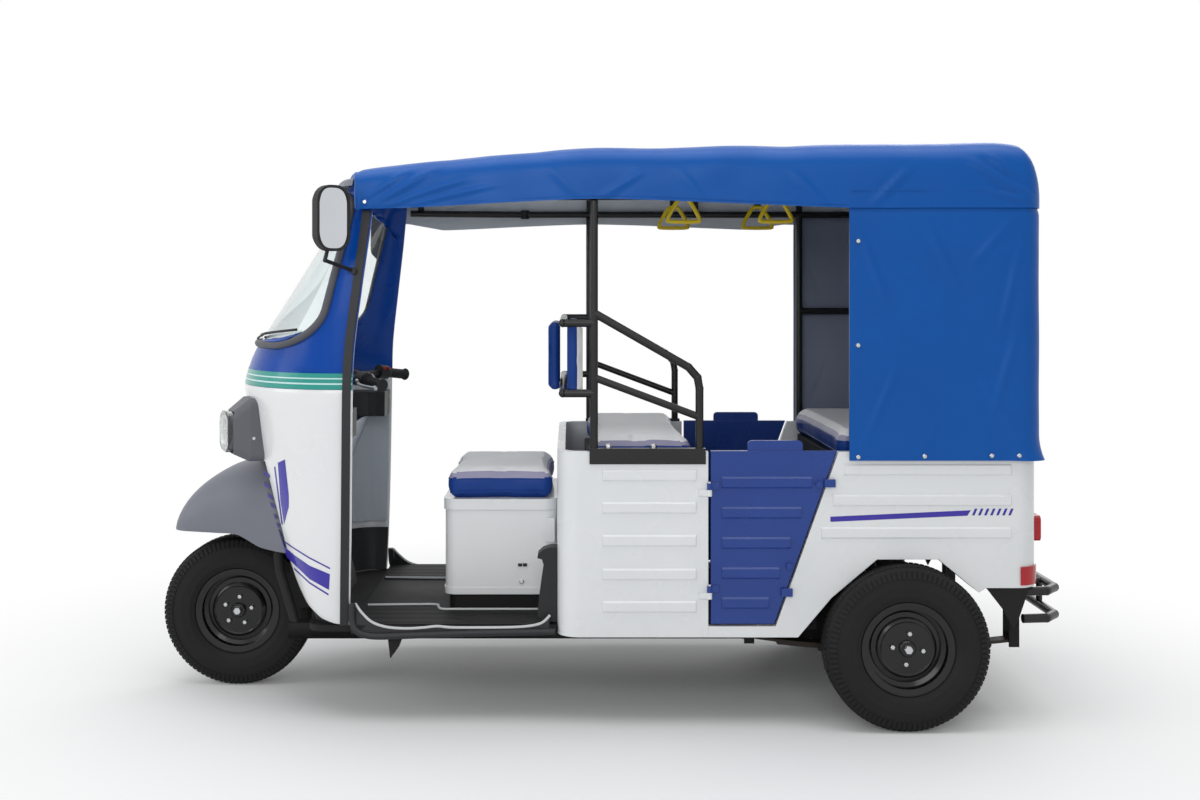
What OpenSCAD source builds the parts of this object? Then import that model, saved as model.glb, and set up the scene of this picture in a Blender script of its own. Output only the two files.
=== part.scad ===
// Electric auto rickshaw: one steered front wheel, two driven rear wheels, a moulded
// front cowl, a pressed passenger tub with two facing benches, and a cloth canopy on hoops.
// Front is -X, up is +Z. The origin is on the ground below the middle of the vehicle.

/* [Wheels] */
// Outside diameter of the tyres
tyre_d = 506; // [480:1:530]
// Section width of the tyres
tyre_w = 114; // [104:1:124]
// Bead seat diameter of the rims
rim_d = 254; // [248:1:260]
// Distance between front and rear axles
wheelbase = 2170; // [2120:1:2220]
// Distance between the mid planes of the rear tyres
track = 1000; // [980:1:1030]
// Front axle position along the vehicle
front_axle_x = -1216; // [-1236:1:-1196]
// Radius of the stub axles
stub_r = 15; // [13:0.5:17]

/* [Steering] */
// Rake of the steering axis from vertical, in degrees
rake = 22; // [18:0.5:26]
// Distance of the axle ahead of the steering axis
fork_offset = 57; // [45:1:65]
// Radius of the steering column
column_r = 20; // [17:0.5:22]
// Half width of the handlebar
bar_half_w = 300; // [270:1:320]
// Radius of the handlebar tube
bar_r = 11; // [10:0.5:13]

/* [Cowl] */
// Wall of the front cowl
cowl_t = 14; // [10:0.5:18]
// Length of the straight return behind the curved nose
cowl_return = 40; // [30:1:50]

/* [Tub] */
// Outside width of the tub
body_w = 1000; // [980:1:1010]
// Wall of the tub
tub_t = 25; // [20:1:30]
// Front face of the tub
tub_front_x = -118; // [-126:1:-110]
// Rear face of the tub
tub_rear_x = 1372; // [1365:1:1378]
// Lower edge of the tub
tub_bottom_z = 280; // [275:1:290]
// Upper edge of the tub
tub_top_z = 852; // [840:1:870]
// Radius of the tub's upright corners
tub_corner_r = 70; // [50:1:90]
// Front edge of the door opening
door_front_x = 348; // [340:1:356]
// Rear edge of the door opening at its top
door_top_rear_x = 750; // [735:1:765]
// Rear edge of the door opening at its bottom
door_low_rear_x = 556; // [540:1:570]
// Lower edge of the door opening
door_low_z = 314; // [306:1:322]
// Gap round a door
door_gap = 8; // [7:0.5:10]

/* [Frame] */
// Diameter of the roof and rail tubes
tube_d = 25; // [22:1:28]
// Post position along the vehicle
post_x = -4; // [-14:1:6]
// Roof height at the canopy's edge over the posts
roof_z = 1775; // [1755:1:1795]

/* [Cloth] */
// Thickness of the canopy cloth
cloth_t = 5; // [4:0.5:7]
// Width of the canopy
canopy_w = 1040; // [1020:1:1050]

/* [Hidden] */
$fn = 48;
fit = 0.3;
// Gap between two curved skins that are stepped differently
skin_gap = 0.9;
rear_axle_x = front_axle_x + wheelbase;
axle_z = tyre_d / 2;
half_w = body_w / 2;
inner_w = half_w - tub_t;
rake_tan = tan(rake);
function axis_x(z) = front_axle_x + fork_offset + (z - axle_z) * rake_tan;

// Small helpers

// Straight round bar from p to q
module rod(p, q, r) {
    d = q - p;
    len = norm(d);
    translate(p)
        rotate([0, acos(d[2] / len), atan2(d[1], d[0])])
            cylinder(r = r, h = len);
}

// Bent bar through a list of points, with round elbows a little fuller than the bar
elbow = 0.6;
module bent_rod(points, r, fuller = elbow) {
    for (i = [0:len(points) - 2])
        rod(points[i], points[i + 1], r);
    for (i = [1:1:len(points) - 2])
        translate(points[i])
            sphere(r = r + fuller);
}

// Both sides of the vehicle
module both_sides() {
    children();
    mirror([0, 1, 0])
        children();
}

// Rectangle with round corners, from corner a to corner b
module round_rect(a, b, r) {
    translate([a[0] + r, a[1]])
        square([b[0] - a[0] - 2 * r, b[1] - a[1]]);
    translate([a[0], a[1] + r])
        square([b[0] - a[0], b[1] - a[1] - 2 * r]);
    for (x = [a[0] + r, b[0] - r], y = [a[1] + r, b[1] - r])
        translate([x, y])
            circle(r = r);
}

// Plan outline with round corners, drawn up from z0 to z1
module slab(a, b, z0, z1, r) {
    translate([0, 0, z0])
        linear_extrude(z1 - z0)
            round_rect(a, b, r);
}

// Box from corner a to corner b
module block(a, b) {
    translate(a)
        cube(b - a);
}

// A side view outline, drawn across the vehicle from y0 to y1
module across(y0, y1) {
    translate([0, y1, 0])
        rotate([90, 0, 0])
            linear_extrude(y1 - y0)
                children();
}

// Closed skin over a grid of points: rows of equal length, front grid then back grid
function grid_faces(rows, cols) = let(n = rows * cols) concat(
    [for (i = [0:rows - 2], j = [0:cols - 2]) [i * cols + j, i * cols + j + 1, (i + 1) * cols + j + 1]],
    [for (i = [0:rows - 2], j = [0:cols - 2]) [i * cols + j, (i + 1) * cols + j + 1, (i + 1) * cols + j]],
    [for (i = [0:rows - 2], j = [0:cols - 2]) [n + i * cols + j, n + (i + 1) * cols + j + 1, n + i * cols + j + 1]],
    [for (i = [0:rows - 2], j = [0:cols - 2]) [n + i * cols + j, n + (i + 1) * cols + j, n + (i + 1) * cols + j + 1]],
    [for (j = [0:cols - 2]) each [[j, n + j, n + j + 1], [j, n + j + 1, j + 1]]],
    [for (j = [0:cols - 2]) let(a = (rows - 1) * cols + j) each [[a, n + a + 1, n + a], [a, a + 1, n + a + 1]]],
    [for (i = [0:rows - 2]) let(a = i * cols) each [[a, n + a + cols, n + a], [a, a + cols, n + a + cols]]],
    [for (i = [0:rows - 2]) let(a = i * cols + cols - 1) each [[a, n + a, n + a + cols], [a, n + a + cols, a + cols]]]
);
module grid_skin(front, back) {
    rows = len(front);
    cols = len(front[0]);
    polyhedron(points = [for (g = [front, back]) each [for (row = g) each row]], faces = grid_faces(rows, cols));
}

// Wheels

// Tyre section, from the bead outwards: radius beyond the rim's bead seat, half width
wheel_rim_r = rim_d / 2;
tyre_side = tyre_w / 2;
tyre_r = tyre_d / 2;
flange_h = 16;
rim_half_w = 44;
rim_wall = 4.5;
tyre_half = [
    [wheel_rim_r + 1.4, rim_half_w - 6.6],
    [wheel_rim_r + flange_h + 0.6, rim_half_w - 4.6],
    [wheel_rim_r + flange_h + 4, rim_half_w + 2],
    [tyre_r - 90, tyre_side - 3],
    [tyre_r - 62, tyre_side],
    [tyre_r - 32, tyre_side - 3],
    [tyre_r - 13, tyre_side - 9],
    [tyre_r - 4, tyre_side - 24],
    [tyre_r, tyre_side - 44]
];
module tyre() {
    color([0.09, 0.09, 0.09])
        rotate_extrude($fn = 96)
            polygon(concat(tyre_half, [for (i = [len(tyre_half) - 1:-1:0]) [tyre_half[i][0], -tyre_half[i][1]]]));
}

// Rim, disc, hub and brake drum, turned about Z with the outer face up
disc_r = 91;
disc_face = 26;
hub_r = 38;
hub_inner = -50;
hub_cap_r = 25;
hub_cap_h = 12;
drum_r = 86;
module rim() {
    well_r = wheel_rim_r - 15;
    color([0.07, 0.07, 0.075])
        difference() {
            union() {
                rotate_extrude($fn = 96)
                    polygon([
                        [wheel_rim_r + flange_h, rim_half_w], [wheel_rim_r + flange_h, rim_half_w - 4],
                        [wheel_rim_r + 1, rim_half_w - 6], [wheel_rim_r, 14], [well_r, 8],
                        [well_r, -8], [wheel_rim_r, -14], [wheel_rim_r + 1, 6 - rim_half_w],
                        [wheel_rim_r + flange_h, 4 - rim_half_w], [wheel_rim_r + flange_h, -rim_half_w],
                        [wheel_rim_r + flange_h - 4, -rim_half_w], [wheel_rim_r - 5, 3 - rim_half_w],
                        [wheel_rim_r - 6, -18], [well_r - rim_wall, -11],
                        [well_r - rim_wall, 11], [wheel_rim_r - 6, 18],
                        [wheel_rim_r - 5, rim_half_w - 3], [wheel_rim_r + flange_h - 4, rim_half_w]
                    ]);
                rotate_extrude($fn = 96)
                    polygon([
                        [0, disc_face + hub_cap_h], [hub_cap_r - 3, disc_face + hub_cap_h],
                        [hub_cap_r, disc_face + hub_cap_h - 3], [hub_cap_r, disc_face], [disc_r - 12, disc_face],
                        [disc_r - 8, disc_face + 3], [disc_r, disc_face - 2], [disc_r + 1, 8], [well_r - 1, 6],
                        [well_r - 1, 0], [disc_r - 6, 0], [disc_r - 7, disc_face - 8], [hub_r, disc_face - 8],
                        [hub_r, -6], [drum_r, -6], [drum_r, -38], [hub_r, -40], [hub_r, hub_inner], [0, hub_inner]
                    ]);
            }
            translate([0, 0, hub_inner - 1])
                cylinder(r = stub_r + fit, h = disc_face - hub_inner - 10);
        }
}
stub_len = disc_face - hub_inner - 13;

// A wheel's own Z axis points outwards: to the left (-Y) or to the right (+Y)
module on_axle(x, y, side) {
    translate([x, y, axle_z])
        rotate([side > 0 ? -90 : 90, 0, 0])
            children();
}

module front_rim() on_axle(front_axle_x, 0, -1) rim();
module front_tyre() on_axle(front_axle_x, 0, -1) tyre();
module left_rim() on_axle(rear_axle_x, -track / 2, -1) rim();
module left_tyre() on_axle(rear_axle_x, -track / 2, -1) tyre();
module right_rim() on_axle(rear_axle_x, track / 2, 1) rim();
module right_tyre() on_axle(rear_axle_x, track / 2, 1) tyre();

// Front cowl

// Columns: height, nose x, half width, rear edge x
cowl_levels = [
    [300, -985, 428, -768], [420, -1030, 446, -764], [600, -1090, 458, -760], [800, -1142, 466, -757],
    [970, -1174, 470, -755], [1040, -1184, 470, -754], [1160, -1142, 466, -750], [1350, -1020, 452, -728],
    [1524, -907, 434, -706], [1640, -838, 420, -694], [1700, -812, 412, -689]
];
cowl_seam_z = 1040;
cowl_low_z = 300;
cowl_top_z = 1700;
function cowl_col(z, c) = lookup(z, [for (l = cowl_levels) [l[0], l[c]]]);
function cowl_base_x(z) = cowl_col(z, 3) - cowl_return;

// Angle 0 is the nose and 90 the side; from 90 to 100 the point runs along the straight return
return_angle = 10;
function cowl_point(a, z, inset) =
    let(w = cowl_col(z, 2) - inset, depth = cowl_base_x(z) - cowl_col(z, 1) - inset, s = a < 0 ? -1 : 1)
    abs(a) <= 90
        ? [cowl_base_x(z) - depth * cos(a), w * sin(a), z]
        : [cowl_base_x(z) + (abs(a) - 90) / return_angle * cowl_return, s * w, z];
function cowl_grid(angles, heights, inset) = [for (z = heights) [for (a = angles) cowl_point(a, z, inset)]];
function steps(a, b, n) = [for (i = [0:n]) a + (b - a) * i / n];
side_angles = concat([-100], steps(-90, 90, 30), [100]);
low_heights = concat([cowl_low_z, 360, 420, 510], steps(600, cowl_seam_z, 7));
top_heights = concat([cowl_seam_z, 1080, 1120], steps(1160, cowl_top_z, 9));
module cowl_patch(angles, heights, out_inset, in_inset) {
    grid_skin(cowl_grid(angles, heights, out_inset), cowl_grid(angles, heights, in_inset));
}
// The whole volume inside the cowl's outer face, used to seat what is fixed to it
module cowl_volume(grow) {
    heights = [cowl_low_z - 20, each low_heights];
    grid_skin(
        cowl_grid(side_angles, heights, -grow),
        [for (z = heights) [for (a = side_angles) [cowl_base_x(z) + cowl_return, 0.2 * cowl_point(a, z, 0)[1], z]]]
    );
}

// Side view of what is cut away under the nose, so that the wheel can turn
module nose_cut() {
    across(-body_w, body_w)
        polygon([
            [-1500, 796], [-1062, 796], [-1000, 560], [-978, 480], [-950, 410], [-912, 352], [-860, 318],
            [-812, cowl_low_z + 4], [-770, cowl_low_z], [-770, 150], [-1500, 150]
        ]);
}

// Mudguard: columns are x, half width, crown height, hem height
mudguard_t = 6;
mudguard_sections = [
    [-1414, 88, 556, 542], [-1404, 112, 596, 542], [-1374, 138, 646, 543], [-1322, 160, 696, 544],
    [-1246, 188, 744, 545], [-1180, 213, 768, 545], [-1140, 229, 778, 530], [-1096, 246, 787, 510],
    [-1040, 268, 796, 500], [-992, 288, 802, 496]
];
function arch_point(s, a, inset) = let(
    y = (s[1] - inset) * (cos(a) < 0 ? -1 : 1) * pow(abs(cos(a)), 0.7),
    z = s[3] + max(s[2] - s[3] - inset, 2) * pow(sin(a), 0.75)
) [s[0], y, z];
function mudguard_grid(inset, low) = [
    for (s = mudguard_sections) [for (a = steps(180, 0, 24)) arch_point([s[0], s[1], s[2], s[3] - low], a, inset)]
];
module front_mudguard() {
    color([0.42, 0.43, 0.46])
        grid_skin(mudguard_grid(0, 0), mudguard_grid(mudguard_t, 0));
}
// Solid filling of the mudguard, down past its hem
module mudguard_volume(grow) {
    grid_skin(
        mudguard_grid(-grow, 0),
        [for (s = mudguard_sections) [for (a = steps(180, 0, 24)) [s[0], arch_point(s, a, 0)[1] * 0.98, s[3] - 30]]]
    );
}

module front_cowl() {
    color([0.93, 0.94, 0.95])
        difference() {
            cowl_patch(side_angles, low_heights, 0, cowl_t);
            nose_cut();
            mudguard_volume(1);
        }
}

// Windscreen
screen_angle = 76;
screen_low_z = 1180;
screen_top_z = 1640;
screen_angles = steps(-screen_angle, screen_angle, 26);
screen_heights = steps(screen_low_z, screen_top_z, 8);
glass_t = 5;
glass_inset = 4;
seal_w = 26;
seal_h = 9;
module windscreen_frame() {
    color([0.02, 0.25, 0.62])
        difference() {
            cowl_patch(side_angles, top_heights, 0, cowl_t);
            cowl_patch(screen_angles, screen_heights, -40, cowl_t + 40);
        }
}
module windscreen_glass() {
    inner_angles = [for (a = screen_angles) a * (screen_angle - 0.12) / screen_angle];
    inner_heights = steps(screen_low_z + fit, screen_top_z - fit, 8);
    color([0.85, 0.9, 0.92, 0.35])
        cowl_patch(inner_angles, inner_heights, glass_inset, glass_inset + glass_t);
}
module windscreen_seal() {
    outer_angles = concat([-81], steps(-78, 78, 26), [81]);
    outer_heights = concat(
        [screen_low_z - 20], [for (z = top_heights) if (z > screen_low_z && z < screen_top_z + 20) z], [screen_top_z + seal_w]
    );
    lip_angle = screen_angle - 3;
    lip = 10;
    color([0.22, 0.23, 0.25])
        difference() {
            cowl_patch(outer_angles, outer_heights, -seal_h, -skin_gap);
            cowl_patch(steps(-lip_angle, lip_angle, 26), steps(screen_low_z + lip, screen_top_z - lip, 8), -40, 40);
        }
}

// Headlamp pods on the nose's corners, turned outwards
pod_x = -1108;
pod_y = 236;
pod_z = 898;
pod_turn = 24;
pod_len = 96;
pod_w = 150;
pod_h = 204;
pod_round = 28;
module pod_place() {
    translate([pod_x, -pod_y, pod_z])
        rotate([0, 0, pod_turn])
            children();
}
module pod_shape() {
    hull() {
        for (y = [-1, 1], z = [-1, 1])
            translate([120, y * (pod_w / 2 - pod_round), z * (pod_h / 2 - pod_round)])
                rotate([0, -90, 0])
                    cylinder(r = pod_round, h = 150, $fn = 32);
        for (y = [-1, 1])
            translate([-pod_len + pod_round, y * (pod_w / 2 - pod_round - 10), -pod_h / 2 + pod_round + 22])
                sphere(r = pod_round, $fn = 32);
        for (y = [-1, 1])
            translate([-pod_len + pod_round, y * (pod_w / 2 - pod_round - 10), pod_h / 2 - pod_round - 38])
                sphere(r = pod_round, $fn = 32);
    }
}
lens_w = 118;
lens_h = 132;
lens_d = 34;
lens_r = 16;
lens_z = -6;
module lens_shape(grow) {
    translate([-pod_len + 22 + grow, 0, lens_z])
        rotate([0, -90, 0])
            linear_extrude(lens_d + grow)
                round_rect([-lens_h / 2 - grow, -lens_w / 2 - grow], [lens_h / 2 + grow, lens_w / 2 + grow], lens_r);
}
module headlamp_pods() {
    color([0.36, 0.37, 0.4])
        both_sides()
            difference() {
                pod_place()
                    difference() {
                        pod_shape();
                        lens_shape(fit);
                    }
                cowl_volume(fit);
            }
}
module headlamp_lenses() {
    color([0.85, 0.87, 0.88, 0.6])
        both_sides()
            pod_place()
                lens_shape(0);
}

// Rubber edging down the cowl's rear edge on both sides
trim_w = 26;
trim_h = 9;
trim_set_back = 4;
module door_frame_trim() {
    heights = concat(low_heights, [1120, 1200, 1300, 1400, 1524, 1600]);
    function edge(z, dx, dy) = [cowl_col(z, 3) - trim_set_back - dx, -cowl_col(z, 2) - dy, z];
    color([0.1, 0.1, 0.11])
        both_sides()
            grid_skin(
                [for (z = heights) [edge(z, trim_w, trim_h), edge(z, 0, trim_h)]],
                [for (z = heights) [edge(z, trim_w, skin_gap), edge(z, 0, skin_gap)]]
            );
}

// Grey peak over the windscreen
visor_len = 46;
module sun_visor() {
    heights = [cowl_top_z - 14, cowl_top_z - 6, cowl_top_z];
    angles = steps(-78, 78, 20);
    color([0.4, 0.41, 0.43])
        grid_skin(
            [for (i = [0:2]) [for (a = angles) cowl_point(a, heights[i], -visor_len + i * 6) - [0, 0, i == 0 ? 10 : 0]]],
            [for (i = [0:2]) [for (a = angles) cowl_point(a, heights[i], -skin_gap)]]
        );
}

// Mirrors on bent stalks from the screen pillars
mirror_x = -806;
mirror_y = 560;
mirror_z = 1568;
mirror_turn = 48;
mirror_half_h = 100;
mirror_half_w = 58;
mirror_d = 44;
stalk_r = 6;
module mirror_housings() {
    foot = [-752, -(cowl_col(1410, 2) + trim_h + 1), 1410];
    color([0.2, 0.2, 0.21])
        both_sides() {
            translate([mirror_x, -mirror_y, mirror_z])
                rotate([0, 0, -mirror_turn])
                    rotate([0, 90, 0])
                        translate([0, 0, -mirror_d / 2])
                            difference() {
                                hull() {
                                    linear_extrude(mirror_d * 0.6)
                                        translate([0, 0, 0])
                                            scale(0.86)
                                                round_rect([-mirror_half_h, -mirror_half_w], [mirror_half_h, mirror_half_w], 42);
                                    translate([0, 0, mirror_d * 0.4])
                                        linear_extrude(mirror_d * 0.6)
                                            round_rect([-mirror_half_h, -mirror_half_w], [mirror_half_h, mirror_half_w], 48);
                                }
                                translate([0, 0, mirror_d - 4])
                                    linear_extrude(10)
                                        round_rect([8 - mirror_half_h, 8 - mirror_half_w], [mirror_half_h - 8, mirror_half_w - 8], 40);
                            }
            bent_rod([
                [mirror_x - 8, -mirror_y, mirror_z - mirror_half_h + 6], [mirror_x - 16, -mirror_y, mirror_z - 128], foot
            ], stalk_r);
            translate(foot)
                rotate([90, 0, 0])
                    cylinder(r = 11, h = 12);
        }
}

// Cabin front: dash tray, leg shield, wheel well and floor

lining_t = 6;
tray_low_z = 885;
tray_top_z = 975;
tray_w = 130;
module dash_tray() {
    color([0.12, 0.12, 0.13])
        cowl_patch(concat([-98], steps(-90, 90, 24), [98]), [tray_low_z, tray_top_z], cowl_t + skin_gap, cowl_t + tray_w);
}

well_r = axle_z + 115;
well_front_x = front_axle_x + 66;
well_t = 6;
well_half_w = 200;
floor_low_z = tub_bottom_z;
well_low_z = cowl_low_z;
floor_top_z = 308;
module well_disc(r) {
    translate([front_axle_x, 0, axle_z])
        rotate([90, 0, 0])
            cylinder(r = r, h = body_w, center = true, $fn = 96);
}
module wheel_well() {
    color([0.06, 0.06, 0.065])
        difference() {
            union() {
                intersection() {
                    difference() {
                        well_disc(well_r + well_t);
                        well_disc(well_r);
                    }
                    block([well_front_x, -well_half_w, well_low_z], [-600, well_half_w, 700]);
                }
                both_sides()
                    intersection() {
                        well_disc(well_r + well_t);
                        block([-1005, well_half_w - well_t, well_low_z], [-600, well_half_w, 700]);
                    }
            }
            rod([axis_x(450), 0, 450], [axis_x(700), 0, 700], column_r + 12);
        }
}

shield_behind = 62;
shield_low_z = 470;
module leg_shield() {
    angles = concat(steps(50, 90, 6), [98]);
    heights = steps(480, tray_low_z - fit, 6);
    lean = (tray_low_z - fit - shield_low_z) * rake_tan;
    color([0.5, 0.53, 0.56]) {
        both_sides()
            cowl_patch([for (i = [len(angles) - 1:-1:0]) -angles[i]], heights, cowl_t + skin_gap, cowl_t + lining_t);
        difference() {
            intersection() {
                across(-body_w, body_w)
                    translate([axis_x(shield_low_z) + shield_behind, shield_low_z])
                        polygon([
                            [0, 0], [lining_t, 0], [lean + lining_t, tray_low_z - fit - shield_low_z],
                            [lean, tray_low_z - fit - shield_low_z]
                        ]);
                cowl_volume(-cowl_t - lining_t - fit);
            }
            intersection() {
                well_disc(well_r + well_t + fit);
                block([-1500, -well_half_w - fit, 0], [-500, well_half_w + fit, 1000]);
            }
        }
    }
}

floor_half_w = half_w - 38;
floor_front_x = -905;
floor_step_x = -760;
floor_nose_w = 430;
plinth_top_z = 356;
module floor_pan() {
    color([0.08, 0.08, 0.085])
        union() {
            slab([floor_step_x, -floor_half_w], [tub_front_x - fit, floor_half_w], floor_low_z, floor_top_z, 12);
            slab([floor_front_x, -floor_nose_w], [floor_step_x + 80, floor_nose_w], floor_low_z, cowl_low_z - fit, 60);
            slab([seat_front_x + 14, -seat_half_w + 12], [tub_front_x - fit, seat_half_w - 12],
                 floor_top_z - 1, plinth_top_z, 30);
        }
}

// Driver's seat
seat_front_x = -488;
seat_half_w = 248;
seat_top_z = 668;
cushion_h = 98;
cushion_over = 6;
module driver_seat_box() {
    color([0.9, 0.91, 0.9])
        union() {
            slab([seat_front_x, -seat_half_w], [tub_front_x - fit, seat_half_w], plinth_top_z + fit, seat_top_z, 40);
            slab([seat_front_x - 5, -seat_half_w - 5], [tub_front_x - fit, seat_half_w + 5], seat_top_z - 36, seat_top_z, 44);
            slab([seat_front_x - 3, -seat_half_w - 3], [tub_front_x - fit, seat_half_w + 3],
                 plinth_top_z + fit, plinth_top_z + 22, 42);
        }
}
module driver_cushion() {
    a = [seat_front_x - cushion_over, -seat_half_w - cushion_over];
    b = [tub_front_x - 2, seat_half_w + cushion_over];
    color([0.1, 0.25, 0.6])
        slab(a, b, seat_top_z + fit, seat_top_z + cushion_h, 36);
}

// Tub: pressed panels with horizontal swages

swage_h = 38;
swage_d = 5;
front_swage_z = [374, 474, 578, 679, 779];
rear_swage_z = [602, 702, 797];
door_swage_z = [386, 478, 571, 664, 757];
// One swage along X on the left side, proud of the face at y
module swage(x0, x1, z, y) {
    translate([x0, y, z])
        rotate([90, 0, 90])
            linear_extrude(x1 - x0)
                polygon([[1, -swage_h / 2], [-swage_d, 6 - swage_h / 2], [-swage_d, swage_h / 2 - 6], [1, swage_h / 2]]);
}
// X of the slanted rear edge of the door opening
function door_edge_x(z) =
    door_low_rear_x + (door_top_rear_x - door_low_rear_x) * (z - door_low_z) / (tub_top_z - door_low_z);

module tub_ring() {
    difference() {
        slab([tub_front_x, -half_w], [tub_rear_x, half_w], tub_bottom_z, tub_top_z, tub_corner_r);
        slab([tub_front_x + tub_t, -inner_w], [tub_rear_x - tub_t, inner_w], tub_bottom_z - 1, tub_top_z + 1,
             tub_corner_r - tub_t);
    }
}
module door_opening() {
    across(-body_w, body_w)
        polygon([
            [door_front_x, door_low_z], [door_low_rear_x, door_low_z], [door_edge_x(tub_top_z + 10), tub_top_z + 10],
            [door_front_x, tub_top_z + 10]
        ]);
}
// Wheel arch outline: x from the rear axle, height
arch_points = [[-338, 270], [-226, 402], [-86, 520], [104, 520], [228, 418], [250, 432], [600, 432], [600, 270]];
module arch_cut() {
    across(-body_w, body_w)
        polygon([for (p = arch_points) [rear_axle_x + p[0], p[1]]]);
}
module front_tub() {
    color([0.93, 0.94, 0.95])
        union() {
            intersection() {
                tub_ring();
                block([tub_front_x - 1, -body_w, 0], [door_front_x, body_w, 1000]);
            }
            both_sides()
                for (z = front_swage_z)
                    swage(tub_front_x + 140, door_front_x - 38, z, -half_w);
            both_sides()
                for (z = hinge_z)
                    hinge_lug(z);
        }
}
module rear_tub() {
    color([0.93, 0.94, 0.95])
        union() {
            difference() {
                intersection() {
                    tub_ring();
                    block([door_front_x, -body_w, 0], [tub_rear_x + 1, body_w, 1000]);
                }
                door_opening();
                arch_cut();
            }
            both_sides()
                for (z = rear_swage_z)
                    swage(door_edge_x(z) + 36, tub_rear_x - 92, z, -half_w);
        }
}

// Floor of the passenger tub, its riser and the shelf over the rear axle
tub_floor_t = 12;
arch_front_x = rear_axle_x + arch_points[0][0];
liner_in_y = 400;
shelf_front_x = 700;
shelf_z = 540;
module tub_floor() {
    color([0.05, 0.05, 0.055])
        union() {
            slab([tub_front_x + tub_t + fit, -inner_w + fit], [arch_front_x - 4, inner_w - fit], floor_low_z,
                 floor_low_z + tub_floor_t, 44);
            block([arch_front_x - 60, -liner_in_y + fit, floor_low_z], [shelf_front_x, liner_in_y - fit, floor_low_z + tub_floor_t]);
            block([shelf_front_x - tub_floor_t, -liner_in_y + fit, floor_low_z],
                  [shelf_front_x, liner_in_y - fit, shelf_z + tub_floor_t]);
            slab([shelf_front_x - tub_floor_t, -inner_w + fit], [tub_rear_x - tub_t - fit, inner_w - fit], shelf_z,
                 shelf_z + tub_floor_t, 46);
        }
}

// Benches
bench_half_w = half_w - 76;
bench_r = 20;
front_bench_x = [tub_front_x + tub_t + 62, door_front_x - 30];
rear_bench_x = [752, 1240];
front_bench_z = 795;
rear_bench_z = 812;
bench_cushion_h = 94;
bench_floor_z = floor_low_z + tub_floor_t + fit;
module bench_boxes() {
    color([0.05, 0.05, 0.055]) {
        slab([front_bench_x[0] + 8, -bench_half_w + 8], [front_bench_x[1] - 8, bench_half_w - 8], bench_floor_z, front_bench_z, bench_r);
        slab([rear_bench_x[0] + 24, -bench_half_w + 8], [rear_bench_x[1] + 100, bench_half_w - 8], shelf_z + tub_floor_t + fit,
             rear_bench_z, bench_r);
    }
}
module front_bench_cushion() {
    color([0.1, 0.25, 0.6])
        slab([front_bench_x[0], -bench_half_w], [front_bench_x[1], bench_half_w], front_bench_z + fit,
             front_bench_z + bench_cushion_h, 36);
}
module rear_bench_cushion() {
    color([0.1, 0.25, 0.6])
        slab([rear_bench_x[0], -bench_half_w], [rear_bench_x[1], bench_half_w], rear_bench_z + fit,
             rear_bench_z + bench_cushion_h, 36);
}
back_x = [1246, 1328];
back_top_z = 1270;
module rear_backrest() {
    color([0.1, 0.25, 0.6])
        translate([0, bench_half_w, 0])
            rotate([90, 0, 0])
                linear_extrude(2 * bench_half_w)
                    round_rect([back_x[0], rear_bench_z + fit], [back_x[1], back_top_z], 30);
}

// Rails, posts and backrest frame above the front of the tub
rail_r = tube_d / 2;
rail_y = half_w - 13;
channel_top_z = tub_top_z + 10;
channel_x = [-18, door_front_x - 8];
hoop_x = 322;
back_bar_x = -100;
back_bar_z = [1031, 1248];
side_tube_z = 1640;
module side_rails() {
    color([0.1, 0.1, 0.11])
        union() {
            both_sides() {
                block([channel_x[0], -half_w - 5, tub_top_z + fit], [channel_x[1], -inner_w, channel_top_z]);
                block([channel_x[0], -half_w - 5, tub_top_z - 38], [channel_x[1], -half_w - fit, channel_top_z]);
                rod([post_x, -rail_y, channel_top_z - 1], [post_x, -rail_y, side_tube_z - rail_r - fit], rail_r);
                bent_rod([
                    [post_x, -rail_y, 1279], [hoop_x - 34, -rail_y, 1112], [hoop_x - 6, -rail_y, 1080],
                    [hoop_x, -rail_y, 1046], [hoop_x, -rail_y, channel_top_z - 1]
                ], rail_r);
                rod([post_x, -rail_y, 1080], [hoop_x, -rail_y, 958], rail_r - 1);
            }
            for (z = back_bar_z)
                bent_rod([
                    [post_x, -rail_y, z], [back_bar_x, -rail_y, z], [back_bar_x, rail_y, z], [post_x, rail_y, z]
                ], rail_r);
        }
}
pad_z = [1006, 1258];
module backrest_pads() {
    color([0.1, 0.25, 0.6]) {
        across(-190, 190)
            round_rect([back_bar_x - rail_r - 34, pad_z[0]], [back_bar_x - rail_r - fit, pad_z[1]], 14);
        across(-400, 400)
            round_rect([back_bar_x + rail_r + fit, pad_z[0]], [back_bar_x + rail_r + 46, pad_z[1]], 20);
    }
}

// Canopy: columns are x, half width, crown height, hem height
canopy_rear_x = 1384;
canopy_corner_r = 70;
curtain_front_x = 780;
curtain_low_z = 826;
hem_z = 1603;
canopy_half = canopy_w / 2;
corner_x = canopy_rear_x - canopy_corner_r;
canopy_sections = [
    [-748, 462, 1734, 1603], [-730, 466, 1742, 1603], [-620, 478, 1756, 1604], [-480, 494, 1772, 1609],
    [-250, 510, 1792, 1621], [-16, canopy_half, 1806, 1630], [160, canopy_half, 1809, 1627],
    [340, canopy_half, 1812, 1620], [560, canopy_half, 1816, 1611], [curtain_front_x, canopy_half, 1820, hem_z],
    [1040, canopy_half, 1824, hem_z], [1240, canopy_half, 1825, hem_z], [corner_x, canopy_half, 1818, hem_z],
    for (c = [[0.3, 1806], [0.55, 1786], [0.75, 1758], [0.9, 1720], [0.97, 1672], [1, 1611]])
        [corner_x + c[0] * canopy_corner_r, canopy_half - canopy_corner_r * (1 - sqrt(1 - c[0] * c[0])), c[1], hem_z]
];
function canopy_col(x, c) = lookup(x, [for (s = canopy_sections) [s[0], s[c]]]);
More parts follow.
